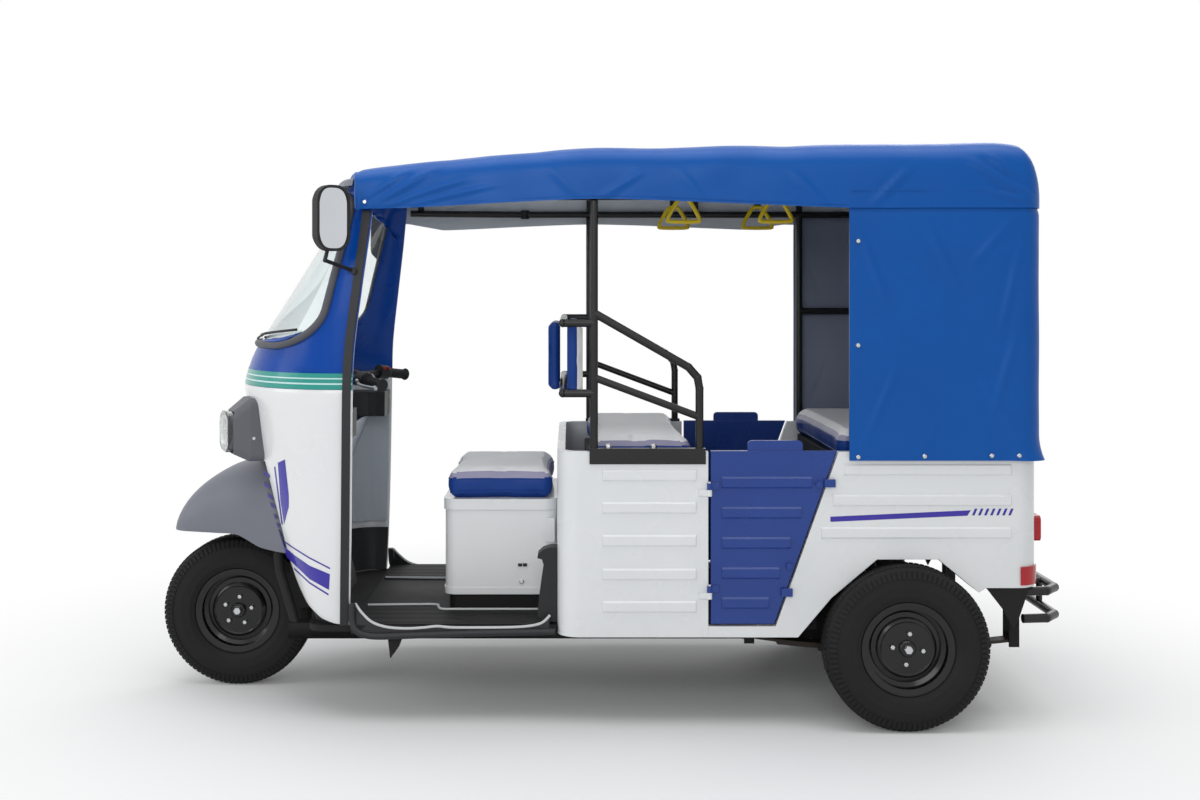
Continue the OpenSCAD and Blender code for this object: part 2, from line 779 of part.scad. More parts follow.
function roof_point(s, a, inset) = let(
    back = max(s[0] - corner_x, 0) / canopy_corner_r,
    half = s[1] - inset * (back > 0.95 ? 0 : 1),
    power = 0.32
) [
    s[0] - inset * back,
    half * (cos(a) < 0 ? -1 : 1) * pow(abs(cos(a)), power),
    s[3] + (s[2] - s[3] - inset) * pow(max(sin(a), 0), power)
];
function roof_grid(inset) = [for (s = canopy_sections) [for (a = steps(180, 0, 32)) roof_point(s, a, inset)]];
module canopy() {
    color([0.03, 0.3, 0.62])
        grid_skin(roof_grid(0), roof_grid(cloth_t));
}
module curtains() {
    color([0.03, 0.3, 0.62])
        intersection() {
            difference() {
                slab([corner_x - 800, -canopy_half], [canopy_rear_x, canopy_half], curtain_low_z, hem_z - fit, canopy_corner_r);
                slab([corner_x - 800, cloth_t - canopy_half], [canopy_rear_x - cloth_t, canopy_half - cloth_t],
                     curtain_low_z - 1, hem_z + 1, canopy_corner_r - cloth_t);
            }
            block([curtain_front_x, -body_w, 0], [canopy_rear_x + 1, body_w, 2000]);
        }
}

// Roof frame
bow_x = [-640, post_x, 400, 797, 1290];
stringer_y = 215;
stringer_r = 10;
rear_rail_z = 1272;
function tube_y(x) = lookup(x, [[-680, 424], [-250, rail_y], [1335, rail_y]]);
bow_t = 22;
function bow_top(x) = min(canopy_col(x - bow_t / 2, 2), canopy_col(x + bow_t / 2, 2)) - cloth_t - skin_gap;
function stringer_z(x) = lookup(x, [for (b = [post_x, 797]) [b, bow_top(b) - bow_t - 13.4]]);
module bow(x) {
    k = canopy_col(x, 1) / canopy_half;
    top = bow_top(x);
    foot = side_tube_z + rail_r + fit;
    half = [[tube_y(x) + 9, foot], [tube_y(x) + 9, max(top - 96, foot + 4)], [tube_y(x) - 6, top - 62],
            [438 * k, top - 26], [300 * k, top - 5], [130 * k, top]];
    function under(p) = p[1] > top - 60 ? p[1] - bow_t : p[1];
    inner = [for (p = half) [p[0] < 200 ? p[0] : p[0] - bow_t * 0.75, under(p)]];
    translate([x - bow_t / 2, 0, 0])
        rotate([90, 0, 90])
            linear_extrude(bow_t)
                polygon([
                    for (p = half) p,
                    for (i = [5:-1:0]) [-half[i][0], half[i][1]],
                    for (p = inner) [-p[0], p[1]],
                    for (i = [5:-1:0]) inner[i]
                ]);
}
module roof_frame() {
    color([0.1, 0.1, 0.11])
        union() {
            both_sides() {
                rod([-250, -rail_y, side_tube_z], [1335, -rail_y, side_tube_z], rail_r);
                rod([-680, -tube_y(-680), side_tube_z], [-252, -rail_y, side_tube_z], rail_r);
                translate([-250, -rail_y, side_tube_z - rail_r - 4])
                    cylinder(r = rail_r + 4, h = 2 * rail_r + 8);
                for (x = [797, 1290])
                    rod([x, -rail_y, tub_top_z + fit], [x, -rail_y, side_tube_z], rail_r);
                rod([797, -rail_y, rear_rail_z], [1290, -rail_y, rear_rail_z], rail_r);
            }
            bent_rod([
                for (c = [[1290, -rail_y], [1342, -440], [1342, 440], [1290, rail_y]]) [c[0], c[1], rear_rail_z - 60]
            ], rail_r, 2.5);
        }
}

// Flat bows that stand on the side tubes, and the two stringers hung below them
module roof_bows() {
    color([0.1, 0.1, 0.11]) {
        for (x = bow_x)
            bow(x);
        both_sides()
            rod([post_x, -stringer_y, stringer_z(post_x)], [797, -stringer_y, stringer_z(797)], stringer_r);
    }
}

// Hand straps with triangular grips
strap_x = [296, 600];
grip_top_z = 1652;
grip_low_z = 1576;
grip_half = 52;
grip_r = 7;
module grab_handles() {
    color([0.92, 0.75, 0.1])
        both_sides()
            for (x = strap_x)
                translate([x, -stringer_y, 0]) {
                    bent_rod([
                        [0, 0, grip_top_z], [-grip_half, 0, grip_low_z], [grip_half, 0, grip_low_z], [0, 0, grip_top_z]
                    ], grip_r);
                    block([-13, -2, grip_top_z - 8], [13, 2, stringer_z(x) - stringer_r - fit]);
                    translate([0, 0, grip_top_z])
                        sphere(r = grip_r + 2);
                }
}

// Rear lamps and wrap-round corner reflectors
module tail_lamps() {
    color([0.75, 0.08, 0.06])
        both_sides() {
            translate([tub_rear_x + fit, 0, 0])
                rotate([90, 0, 90])
                    linear_extrude(26)
                        round_rect([-428, 562], [-336, 642], 16);
            intersection() {
                difference() {
                    slab([0, -half_w - 6], [tub_rear_x + 6, half_w + 6], 441, 497, tub_corner_r + 6);
                    slab([-1, -half_w - fit], [tub_rear_x + fit, half_w + fit], 440, 498, tub_corner_r + fit);
                }
                block([1310, -body_w, 400], [1500, -452, 520]);
            }
        }
}

// Rear bumper of two bent tubes
bumper_x = 1455;
bumper_z = [325, 410];
bumper_r = 14;
module rear_bumper() {
    color([0.08, 0.08, 0.085])
        union() {
            for (z = bumper_z)
                bent_rod([
                    [1335, -446, z], [1412, -438, z], [bumper_x, -386, z], [bumper_x, 386, z], [1412, 438, z], [1335, 446, z]
                ], bumper_r);
            both_sides() {
                rod([bumper_x, -250, bumper_z[0]], [bumper_x, -250, bumper_z[1]], bumper_r - 4);
                bent_rod([[1325, -287, kick_z - fit], [1325, -287, bumper_z[1]], [bumper_x, -287, bumper_z[1]]], bumper_r - 3);
            }
        }
}

// Black arch liners and mud flaps
module rear_splash_guards() {
    lip = 5;
    color([0.05, 0.05, 0.055])
        both_sides() {
            across(-inner_w + fit, -liner_in_y)
                polygon([
                    for (i = [0:4]) [rear_axle_x + arch_points[i][0], arch_points[i][1]],
                    for (i = [4:-1:0]) [rear_axle_x + arch_points[i][0], arch_points[i][1] + lip]
                ]);
            across(-half_w + 8, -half_w + 14)
                polygon([[1206, 431.7], [1340, 431.7], [1306, 330], [1290, 300], [1262, 360]]);
        }
}

// Rear axle, springs and chassis

axle_r = 32;
axle_half = track / 2 - 70;
module rear_axle() {
    color([0.12, 0.12, 0.125])
        translate([rear_axle_x, 0, axle_z])
            union() {
                rotate([90, 0, 0])
                    cylinder(r = axle_r, h = 2 * axle_half, center = true);
                rotate([90, 0, 0])
                    cylinder(r = stub_r, h = track + 2 * (stub_len + hub_inner), center = true);
                both_sides()
                    translate([0, -axle_half + 4, 0])
                        rotate([-90, 0, 0])
                            cylinder(r = 84, h = 10, $fn = 64);
                translate([0, 60, 0])
                    sphere(r = 92, $fn = 64);
                translate([-80, 60, 0])
                    rotate([0, -90, 0])
                        cylinder(r = 78, h = 130, $fn = 64);
                translate([-70, 60, 0])
                    rotate([0, -90, 0])
                        cylinder(r = 88, h = 16, $fn = 64);
            }
}

spring_y = [325, 375];
spring_eye_x = [490, 1330];
spring_t = 8;
spring_top_z = axle_z - axle_r - fit;
spring_eye_r = 15;
spring_pin_r = 8;
spring_rise = 1.55e-4;
function spring_z(x) = spring_top_z - spring_t / 2 + spring_rise * pow(x - rear_axle_x, 2);
module leaf(x0, x1, drop) {
    xs = steps(x0, x1, 16);
    across(-spring_y[1], -spring_y[0])
        polygon([
            for (x = xs) [x, spring_z(x) + spring_t / 2 - drop],
            for (i = [16:-1:0]) [xs[i], spring_z(xs[i]) - spring_t / 2 - drop - 0.5]
        ]);
}
module spring_hole(x, r) {
    translate([x, 0, spring_z(x)])
        rotate([90, 0, 0])
            cylinder(r = r, h = 1200, center = true);
}
module leaf_springs() {
    color([0.14, 0.13, 0.12])
        both_sides()
            difference() {
                union() {
                    leaf(spring_eye_x[0], spring_eye_x[1], 0);
                    leaf(spring_eye_x[0] + 90, spring_eye_x[1] - 70, spring_t);
                    leaf(spring_eye_x[0] + 220, spring_eye_x[1] - 180, 2 * spring_t);
                    for (x = spring_eye_x)
                        translate([x, -spring_y[0], spring_z(x)])
                            rotate([90, 0, 0])
                                cylinder(r = spring_eye_r, h = spring_y[1] - spring_y[0]);
                    block([rear_axle_x - 46, -spring_y[1] - 10, spring_top_z - 3 * spring_t - 12],
                          [rear_axle_x + 46, -spring_y[0] + 10, spring_top_z - 3 * spring_t]);
                    for (y = [spring_y[0] - 5, spring_y[1] + 5])
                        bent_rod([
                            for (c = [[-38, 180], [-38, 291], [38, 291], [38, 180]]) [rear_axle_x + c[0], -y, c[1]]
                        ], 4);
                }
                for (x = spring_eye_x)
                    spring_hole(x, spring_pin_r + fit);
            }
}

chassis_y = 300;
chassis_w = 40;
chassis_low_z = 230;
chassis_top_z = tub_bottom_z - fit;
chassis_front_x = -985;
kick_z = 490;
head_z = [626, 886];
module chassis_rail() {
    across(-chassis_y - chassis_w / 2, -chassis_y + chassis_w / 2)
        polygon([
            [chassis_front_x, chassis_low_z], [728, chassis_low_z], [800, kick_z], [tub_rear_x - tub_t - fit, kick_z],
            [tub_rear_x - tub_t - fit, shelf_z - fit], [762, shelf_z - fit], [shelf_front_x + fit, chassis_top_z],
            [chassis_front_x, chassis_top_z]
        ]);
}
// Two cheeks and a pin for a spring eye, hung below z
module spring_hanger(x, z) {
    block([x - 16, -spring_y[1] - 7, z - 6], [x + 16, -chassis_y, z]);
    for (y = [-spring_y[1] - 7, -spring_y[0] + 1])
        block([x - 16, y, spring_z(x) - 20], [x + 16, y + 6, z]);
    translate([x, -spring_y[0] + 3, spring_z(x)])
        rotate([90, 0, 0])
            cylinder(r = spring_pin_r, h = spring_y[1] - spring_y[0] + 7);
}
module chassis_frame() {
    color([0.07, 0.07, 0.075])
        difference() {
            union() {
                both_sides() {
                    chassis_rail();
                    spring_hanger(spring_eye_x[0], chassis_top_z);
                    spring_hanger(spring_eye_x[1], kick_z + 1);
                    bent_rod([
                        [axis_x(720), -27, 720], [-1000, -225, 604], [-1034, -236, 480], [-1026, -246, 430],
                        [-960, -chassis_y, 262]
                    ], 16);
                    rod([axis_x(846), -27, 846], [axis_x(846), -392, 846], 12);
                }
                for (x = [-700, -250, 200, 600])
                    block([x - 20, -chassis_y, chassis_low_z + 5], [x + 20, chassis_y, chassis_top_z - 5]);
                block([1280, -chassis_y, kick_z + 5], [1320, chassis_y, shelf_z - 5]);
                rod([axis_x(head_z[0]), 0, head_z[0]], [axis_x(head_z[1]), 0, head_z[1]], 34);
            }
            rod([axis_x(head_z[0] - 50), 0, head_z[0] - 50], [axis_x(head_z[1] + 50), 0, head_z[1] + 50], column_r + fit);
        }
}

// Steering: everything here is drawn along the steering axis, up from the fork crown

crown_z = 518;
crown_t = 32;
leg_y = 92;
leg_r = 20;
column_len = (1034 - crown_z) / cos(rake);
module on_steer() {
    translate([axis_x(crown_z), 0, crown_z])
        rotate([0, rake, 0])
            children();
}
module fork_leg() {
    color([0.1, 0.1, 0.105])
        union() {
            on_steer()
                block([-32, -36, -crown_t / 2], [32, leg_y + 24, crown_t / 2]);
            rod([axis_x(crown_z), leg_y, crown_z], [front_axle_x, leg_y, axle_z], leg_r);
            translate([front_axle_x, leg_y + leg_r + 3, axle_z])
                rotate([90, 0, 0])
                    cylinder(r = 34, h = 2 * leg_r + 6);
            translate([front_axle_x, leg_y, axle_z])
                rotate([90, 0, 0])
                    cylinder(r = stub_r, h = leg_y + hub_inner + stub_len);
        }
}
module steering_column() {
    color([0.3, 0.3, 0.31])
        on_steer()
            translate([0, 0, crown_t / 2 + fit])
                cylinder(r = column_r, h = column_len - crown_t / 2 - fit);
}
switch_r = 25;
hand_grip_r = 16;
module handlebar() {
    knee = [axis_x(1050), -80, 1054];
    bend = [-758, -212, 1056];
    tip = [-684, -bar_half_w, 1042];
    along = (tip - bend) / norm(tip - bend);
    color([0.09, 0.09, 0.095])
        union() {
            on_steer()
                translate([0, 0, column_len + fit])
                    cylinder(r = 34, h = 46);
            rod(knee, [knee[0], -knee[1], knee[2]], bar_r);
            both_sides() {
                translate(knee)
                    sphere(r = bar_r + 5);
                rod(knee, bend, bar_r - 1);
                rod(bend - 18 * along, bend + 22 * along, switch_r);
                rod(bend + 20 * along, tip, hand_grip_r);
            }
        }
}

// Doors, each hung on two pins at its front edge
door_t = 22;
hinge_x = door_front_x + 3;
hinge_y = half_w + 8;
hinge_z = [420, 736];
hinge_r = 8;
hinge_pin_r = 4;
hinge_h = 40;
door_top_z = tub_top_z + 2;
latch_z = [500, 752];
module door() {
    low = door_low_z + door_gap;
    color([0.12, 0.24, 0.55])
        difference() {
            union() {
                across(-half_w, -half_w + door_t)
                    polygon([
                        [door_front_x + door_gap, low], [door_edge_x(low) - door_gap, low],
                        [door_edge_x(door_top_z) - door_gap, door_top_z], [door_front_x + door_gap, door_top_z]
                    ]);
                for (z = door_swage_z)
                    swage(door_front_x + door_gap + 34, door_edge_x(z) - door_gap - 40, z, -half_w);
                across(-half_w + 4, -half_w + 16)
                    round_rect([470, door_top_z - 20], [640, door_top_z + 32], 14);
                for (z = latch_z)
                    translate([door_edge_x(z) - door_gap - 18, -half_w + 1, z])
                        rotate([90, 0, 0])
                            cylinder(r = 10, h = 14);
                for (z = hinge_z) {
                    translate([hinge_x, -hinge_y, z])
                        cylinder(r = hinge_r, h = hinge_h / 2);
                    block([hinge_x, -hinge_y, z], [hinge_x + 30, -half_w + 1, z + hinge_h / 2]);
                }
            }
            for (z = hinge_z)
                translate([hinge_x, -hinge_y, z - 1])
                    cylinder(r = hinge_pin_r + fit, h = hinge_h);
        }
}
module left_door() door();
module right_door() mirror([0, 1, 0]) door();
// Fixed half of a hinge: a lug on the front panel with the pin standing on it
module hinge_lug(z) {
    translate([hinge_x, -hinge_y, z - hinge_h / 2])
        cylinder(r = hinge_r, h = hinge_h / 2 - fit);
    block([hinge_x - 34, -hinge_y, z - hinge_h / 2], [hinge_x, -half_w + 1, z - fit]);
    translate([hinge_x, -hinge_y, z - 2])
        cylinder(r = hinge_pin_r, h = hinge_h / 2 + 6);
}

chassis_frame();
floor_pan();
wheel_well();
front_cowl();
windscreen_frame();
windscreen_glass();
windscreen_seal();
front_mudguard();
headlamp_pods();
headlamp_lenses();
dash_tray();
leg_shield();
door_frame_trim();
sun_visor();
mirror_housings();
driver_seat_box();
driver_cushion();
front_tub();
rear_tub();
tub_floor();
bench_boxes();
front_bench_cushion();
rear_bench_cushion();
rear_backrest();
side_rails();
roof_frame();
roof_bows();
backrest_pads();
canopy();
curtains();
grab_handles();
tail_lamps();
rear_bumper();
rear_splash_guards();
leaf_springs();
rear_axle();
steering_column();
handlebar();
fork_leg();
front_rim();
front_tyre();
left_rim();
left_tyre();
right_rim();
right_tyre();
left_door();
right_door();
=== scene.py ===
# %% [markdown]
# # An electric auto rickshaw
# The solid model comes in first and stays fixed: every piece made below sits on it, in metres,
# with the nose towards -X, the ground at Z = 0 and the photographed side towards -Y.

# %% Load the solid model
import math

import bmesh
import bpy
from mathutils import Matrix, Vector, noise


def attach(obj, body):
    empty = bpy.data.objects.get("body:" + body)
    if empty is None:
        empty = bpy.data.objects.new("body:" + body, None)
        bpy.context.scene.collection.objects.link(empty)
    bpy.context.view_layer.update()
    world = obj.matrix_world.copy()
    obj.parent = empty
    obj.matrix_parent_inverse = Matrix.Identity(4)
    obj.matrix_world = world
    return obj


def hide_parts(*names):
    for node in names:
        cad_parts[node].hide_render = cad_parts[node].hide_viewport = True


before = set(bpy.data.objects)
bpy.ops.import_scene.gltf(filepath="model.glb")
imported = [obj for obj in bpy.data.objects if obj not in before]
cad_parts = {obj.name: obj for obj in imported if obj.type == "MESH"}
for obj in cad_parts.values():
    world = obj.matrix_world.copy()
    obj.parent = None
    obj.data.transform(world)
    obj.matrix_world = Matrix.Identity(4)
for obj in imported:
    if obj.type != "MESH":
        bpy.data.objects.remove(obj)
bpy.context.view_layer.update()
scene = bpy.context.scene
scene.view_settings.view_transform = "Standard"
MM = 0.001

# %% [markdown]
# Two small tools serve every material. One turns a colour as it is picked on a screen into the
# linear numbers that the renderer wants, the other adds a node and links or sets its sockets.

# %% Colour and node helpers
def linear(hex_colour):
    channels = [int(hex_colour[i:i + 2], 16) / 255 for i in (1, 3, 5)]
    return (*[c / 12.92 if c <= 0.04045 else ((c + 0.055) / 1.055) ** 2.4 for c in channels], 1.0)


def add(tree, kind, sockets=None, **settings):
    made = tree.nodes.new(kind)
    for key, value in settings.items():
        setattr(made, key, value)
    for key, value in (sockets or {}).items():
        if isinstance(value, bpy.types.NodeSocket):
            tree.links.new(value, made.inputs[key])
        else:
            made.inputs[key].default_value = value
    return made


def new_material(name):
    material = bpy.data.materials.new(name)
    material.use_nodes = True
    tree = material.node_tree
    tree.nodes.clear()
    shader = add(tree, "ShaderNodeBsdfPrincipled")
    add(tree, "ShaderNodeOutputMaterial", {"Surface": shader.outputs["BSDF"]})
    place = add(tree, "ShaderNodeTexCoord").outputs["Object"]
    return material, tree, shader, place


print("linear white:", linear("#FFFFFF")[:3])

# %% [markdown]
# Most finishes differ in the same few ways: a colour that drifts a little, a gloss that is never
# quite even, and a fine relief. One recipe takes those as real sizes in millimetres: how broad
# the drift is, how fine the grain is, and how deep it looks.

# %% The common surface recipe
ROAD_DUST, DUST_TOP, DUST_FULL = "#4A4640", 0.62, 0.2
DRIFT_MM = 180


def surface(name, colour, other, roughness, uneven=0.05, grain_mm=1.5, relief=0.05, metallic=0.0, coat=0.0, dirt=0.0,
            shine=0.35, edge_mm=2.5):
    material, tree, shader, place = new_material(name)
    broad = add(tree, "ShaderNodeTexNoise", {"Vector": place, "Scale": 1000 / DRIFT_MM, "Detail": 4.0})
    fine = add(tree, "ShaderNodeTexNoise", {"Vector": place, "Scale": 1000 / grain_mm, "Detail": 3.0})
    tone = add(tree, "ShaderNodeMix", {"Factor": broad.outputs["Fac"], "A": linear(colour), "B": linear(other)},
               data_type="RGBA")
    paint = tone.outputs["Result"]
    if dirt:
        low = add(tree, "ShaderNodeSeparateXYZ", {"Vector": place}).outputs["Z"]
        fade = add(tree, "ShaderNodeMapRange", {"Value": low, "From Min": DUST_TOP, "From Max": DUST_FULL,
                                                "To Max": dirt})
        patch = add(tree, "ShaderNodeMath", {0: fade.outputs["Result"], 1: broad.outputs["Fac"]},
                    operation="MULTIPLY")
        paint = add(tree, "ShaderNodeMix", {"Factor": patch.outputs["Value"], "A": paint, "B": linear(ROAD_DUST)},
                    data_type="RGBA").outputs["Result"]
    tree.links.new(paint, shader.inputs["Base Color"])
    gloss = add(tree, "ShaderNodeMapRange", {"Value": broad.outputs["Fac"], "From Min": 0.3, "From Max": 0.7,
                                             "To Min": roughness - uneven, "To Max": roughness + uneven})
    tree.links.new(gloss.outputs["Result"], shader.inputs["Roughness"])
    worn = add(tree, "ShaderNodeBevel", {"Radius": edge_mm * MM}, samples=4)
    bump = add(tree, "ShaderNodeBump", {"Height": fine.outputs["Fac"], "Strength": relief,
                                        "Distance": grain_mm * MM, "Normal": worn.outputs["Normal"]})
    tree.links.new(bump.outputs["Normal"], shader.inputs["Normal"])
    shader.inputs["Metallic"].default_value = metallic
    shader.inputs["Coat Weight"].default_value = coat
    shader.inputs["Coat Roughness"].default_value = 0.06
    shader.inputs["Specular IOR Level"].default_value = shine
    return material


# %% [markdown]
# The body is enamelled steel sheet and gel-coated moulding: hard and glossy, with a clear film on
# top and a trace of road dust low down. The trim is satin moulded plastic and extruded rubber,
# whose fine grain spreads the highlights.

# %% Body finishes
white_enamel = surface("white_enamel", "#E9EBEC", "#E1E4E6", 0.28, grain_mm=6, relief=0.012, coat=0.35, dirt=0.1)
white_gelcoat = surface("white_gelcoat", "#ECEEEF", "#E6E8EA", 0.24, grain_mm=8, relief=0.01, coat=0.5, dirt=0.08)
blue_gelcoat = surface("blue_gelcoat", "#0349A8", "#034098", 0.26, grain_mm=8, relief=0.01, coat=0.03, shine=0.16)
blue_enamel = surface("blue_enamel", "#1A4090", "#163783", 0.3, grain_mm=6, relief=0.015, coat=0.15, dirt=0.06)
black_enamel = surface("black_enamel", "#0B0B0C", "#121213", 0.34, grain_mm=5, relief=0.02, coat=0.1, dirt=0.05)
underbody_black = surface("underbody_black", "#0D0D0E", "#151516", 0.62, grain_mm=2.5, relief=0.12, dirt=0.08,
                          shine=0.25)
grey_moulding = surface("grey_moulding", "#777A84", "#70737D", 0.46, grain_mm=1.2, relief=0.06, dirt=0.1)
dark_moulding = surface("dark_moulding", "#62646A", "#5A5C62", 0.5, grain_mm=1.2, relief=0.08)
black_moulding = surface("black_moulding", "#161718", "#1E1F21", 0.52, grain_mm=1.2, relief=0.1)
lining_grey = surface("lining_grey", "#D0D7DE", "#C8D0D7", 0.48, grain_mm=2, relief=0.06)
seal_rubber = surface("seal_rubber", "#55575D", "#4C4E54", 0.55, grain_mm=1.0, relief=0.08)
edge_rubber = surface("edge_rubber", "#1D1E20", "#2A2B2D", 0.5, grain_mm=1.0, relief=0.1)
wheel_black = surface("wheel_black", "#0A0A0B", "#111112", 0.2, grain_mm=5, relief=0.02, coat=0.2, dirt=0.03,
                      shine=0.3)
tyre_rubber = surface("tyre_rubber", "#151516", "#1D1D1D", 0.72, uneven=0.08, grain_mm=2, relief=0.12, dirt=0.03,
                      shine=0.25, edge_mm=1.2)
spring_steel = surface("spring_steel", "#2A2725", "#3A332D", 0.55, grain_mm=3, relief=0.15, metallic=0.4)
bare_steel = surface("bare_steel", "#A9ABAD", "#8F9194", 0.32, grain_mm=1.5, relief=0.08, metallic=1.0)
zinc_plate = surface("zinc_plate", "#C9CBCD", "#B4B6B8", 0.3, grain_mm=1.0, relief=0.06, metallic=1.0)
red_lens = surface("red_lens", "#B80A1E", "#A80A1A", 0.16, grain_mm=4, relief=0.02, coat=0.15)
yellow_grip = surface("yellow_grip", "#E0C412", "#D6BA0C", 0.34, grain_mm=2, relief=0.03, coat=0.1)


def clear(name, tint, roughness, smear):
    material, tree, shader, place = new_material(name)
    smudge = add(tree, "ShaderNodeTexNoise", {"Vector": place, "Scale": 9.0, "Detail": 3.0})
    gloss = add(tree, "ShaderNodeMapRange", {"Value": smudge.outputs["Fac"], "From Min": 0.4, "From Max": 0.75,
                                             "To Min": roughness, "To Max": roughness + smear})
    tree.links.new(gloss.outputs["Result"], shader.inputs["Roughness"])
    shader.inputs["Base Color"].default_value = linear(tint)
    shader.inputs["Transmission Weight"].default_value = 1.0
    shader.inputs["IOR"].default_value = 1.45
    return material


clear_glass = clear("clear_glass", "#EEF4F4", 0.01, 0.03)
lens_glass = clear("lens_glass", "#F4F6F6", 0.03, 0.05)
print("finishes:", len(bpy.data.materials))

# %% [markdown]
# The photograph was taken from well to the left of the vehicle, square on to its side, from a
# little above eye height on the seat. Lines across the vehicle meet at a point left of and above
# the middle of the picture, so the lens looks straight across and the frame is shifted.

# %% Camera
PICTURE = (1200, 800)
VANISHING = (570, 293)
FOCAL_PX = 1331
SENSOR_MM = 36.0
EYE = (-0.078, -4.6, 1.341)
lens_data = bpy.data.cameras.new("photo_camera")
lens_data.sensor_width = SENSOR_MM
lens_data.lens = SENSOR_MM * FOCAL_PX / PICTURE[0]
lens_data.shift_x = (PICTURE[0] / 2 - VANISHING[0]) / PICTURE[0]
lens_data.shift_y = -(PICTURE[1] / 2 - VANISHING[1]) / PICTURE[0]
camera = bpy.data.objects.new("photo_camera", lens_data)
camera.location = EYE
camera.rotation_euler = (math.pi / 2, 0, 0)
scene.collection.objects.link(camera)
scene.camera = camera
print("lens", round(lens_data.lens, 1), "mm, shift", round(lens_data.shift_x, 3), round(lens_data.shift_y, 3))

# %% [markdown]
# A white studio: broad soft lamps above and in front, a white surround that only the camera,
# gloss and glass see at full strength, and a floor that keeps the vehicle's contact shadow.

# %% Studio
FILL_LEVEL, PAPER_WHITE, FLOOR_REACH = 0.36, 1.0, 40


def seen_by(tree):
    """1 for rays from the lens and for those that gloss and glass pass on, 0 for light on the object."""
    rays = add(tree, "ShaderNodeLightPath").outputs
    shown = rays["Is Camera Ray"]
    for kind in ("Is Glossy Ray", "Is Transmission Ray"):
        shown = add(tree, "ShaderNodeMath", {0: shown, 1: rays[kind]}, operation="MAXIMUM").outputs["Value"]
    return shown


world = bpy.data.worlds.new("studio_surround")
world.use_nodes = True
sky = world.node_tree
sky.nodes.clear()
level = add(sky, "ShaderNodeMapRange", {"Value": seen_by(sky), "To Min": FILL_LEVEL, "To Max": PAPER_WHITE})
glow = add(sky, "ShaderNodeBackground", {"Color": (1, 1, 1, 1), "Strength": level.outputs["Result"]})
add(sky, "ShaderNodeOutputWorld", {"Surface": glow.outputs["Background"]})
scene.world = world


def lamp(name, place, target, size, power):
    data = bpy.data.lights.new(name, "AREA")
    data.shape, data.energy = "RECTANGLE", power
    data.size, data.size_y = size
    thing = bpy.data.objects.new(name, data)
    thing.location = place
    thing.rotation_euler = (Vector(target) - Vector(place)).to_track_quat("-Z", "Y").to_euler()
    scene.collection.objects.link(thing)


lamp("overhead_bank", (0.0, -0.6, 5.2), (0.0, 0.0, 0.0), (6.0, 4.0), 150)
lamp("side_bank", (-1.2, -6.2, 3.2), (0.0, 0.0, 0.9), (5.0, 2.5), 105)
lamp("nose_bank", (-5.5, -1.5, 2.6), (-0.8, 0.0, 0.9), (3.0, 2.5), 52)
lamp("back_bank", (3.5, 5.0, 3.4), (0.3, 0.0, 0.9), (4.0, 2.5), 80)

floor_material, tree, shader, place = new_material("studio_floor")
mottle = add(tree, "ShaderNodeTexNoise", {"Vector": place, "Scale": 0.6})
pale = add(tree, "ShaderNodeMix", {"Factor": mottle.outputs["Fac"], "A": linear("#F4F5F6"), "B": linear("#F7F8F8")},
           data_type="RGBA")
tree.links.new(pale.outputs["Result"], shader.inputs["Base Color"])
shader.inputs["Roughness"].default_value = 0.9
shader.inputs["Specular IOR Level"].default_value = 0.1
far = add(tree, "ShaderNodeVectorMath", {0: place}, operation="LENGTH")
fade = add(tree, "ShaderNodeMapRange", {"Value": far.outputs["Value"], "From Min": 0.9, "From Max": 2.9},
           interpolation_type="SMOOTHSTEP")
white_out = add(tree, "ShaderNodeMath", {0: fade.outputs["Result"], 1: seen_by(tree)}, operation="MULTIPLY")
paper = add(tree, "ShaderNodeEmission", {"Color": (1, 1, 1, 1)})
both = add(tree, "ShaderNodeMixShader", {0: white_out.outputs["Value"], 1: shader.outputs["BSDF"],
                                         2: paper.outputs["Emission"]})
tree.links.new(both.outputs["Shader"], next(n for n in tree.nodes if n.type == "OUTPUT_MATERIAL").inputs["Surface"])
floor_mesh = bpy.data.meshes.new("studio_floor")
floor_mesh.from_pydata([(u * FLOOR_REACH, v * FLOOR_REACH, 0) for u, v in ((-1, -1), (1, -1), (1, 1), (-1, 1))], [],
                       [(0, 1, 2, 3)])
floor_mesh.materials.append(floor_material)
studio_floor = bpy.data.objects.new("studio_floor", floor_mesh)
scene.collection.objects.link(studio_floor)

# %% [markdown]
# Every new piece goes through the same gate: its mesh is finished first, then it is tied to the
# body it moves with and to the solid it stands for. Sharp edges are
# found by angle, so that curved skins shade smoothly and corners stay crisp.

# %% Piece helpers
def smooth(mesh, degrees=35):
    mesh.shade_smooth()
    mesh.set_sharp_from_angle(angle=math.radians(degrees))


def settle(thing, body="chassis", stands_for=()):
    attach(thing, body)
    if stands_for:
        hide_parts(*stands_for)
    return thing


def bake(thing, degrees=35):
    """Replace an object's mesh by the result of its modifiers."""
    depsgraph = bpy.context.evaluated_depsgraph_get()
    mesh = bpy.data.meshes.new_from_object(thing.evaluated_get(depsgraph))
    thing.modifiers.clear()
    thing.data = mesh
    smooth(mesh, degrees)
    return thing


def from_data(name, points, faces, material):
    mesh = bpy.data.meshes.new(name)
    mesh.from_pydata([tuple(p) for p in points], [], faces)
    mesh.validate()
    for m in material if isinstance(material, (list, tuple)) else [material]:
        mesh.materials.append(m)
    thing = bpy.data.objects.new(name, mesh)
    scene.collection.objects.link(thing)
    return thing


def face_out(thing, heart):
    """Turn a skin to face away from a point inside it."""
    if sum(f.normal.dot(f.center - Vector(heart)) * f.area for f in thing.data.polygons) < 0:
        thing.data.flip_normals()
    return thing


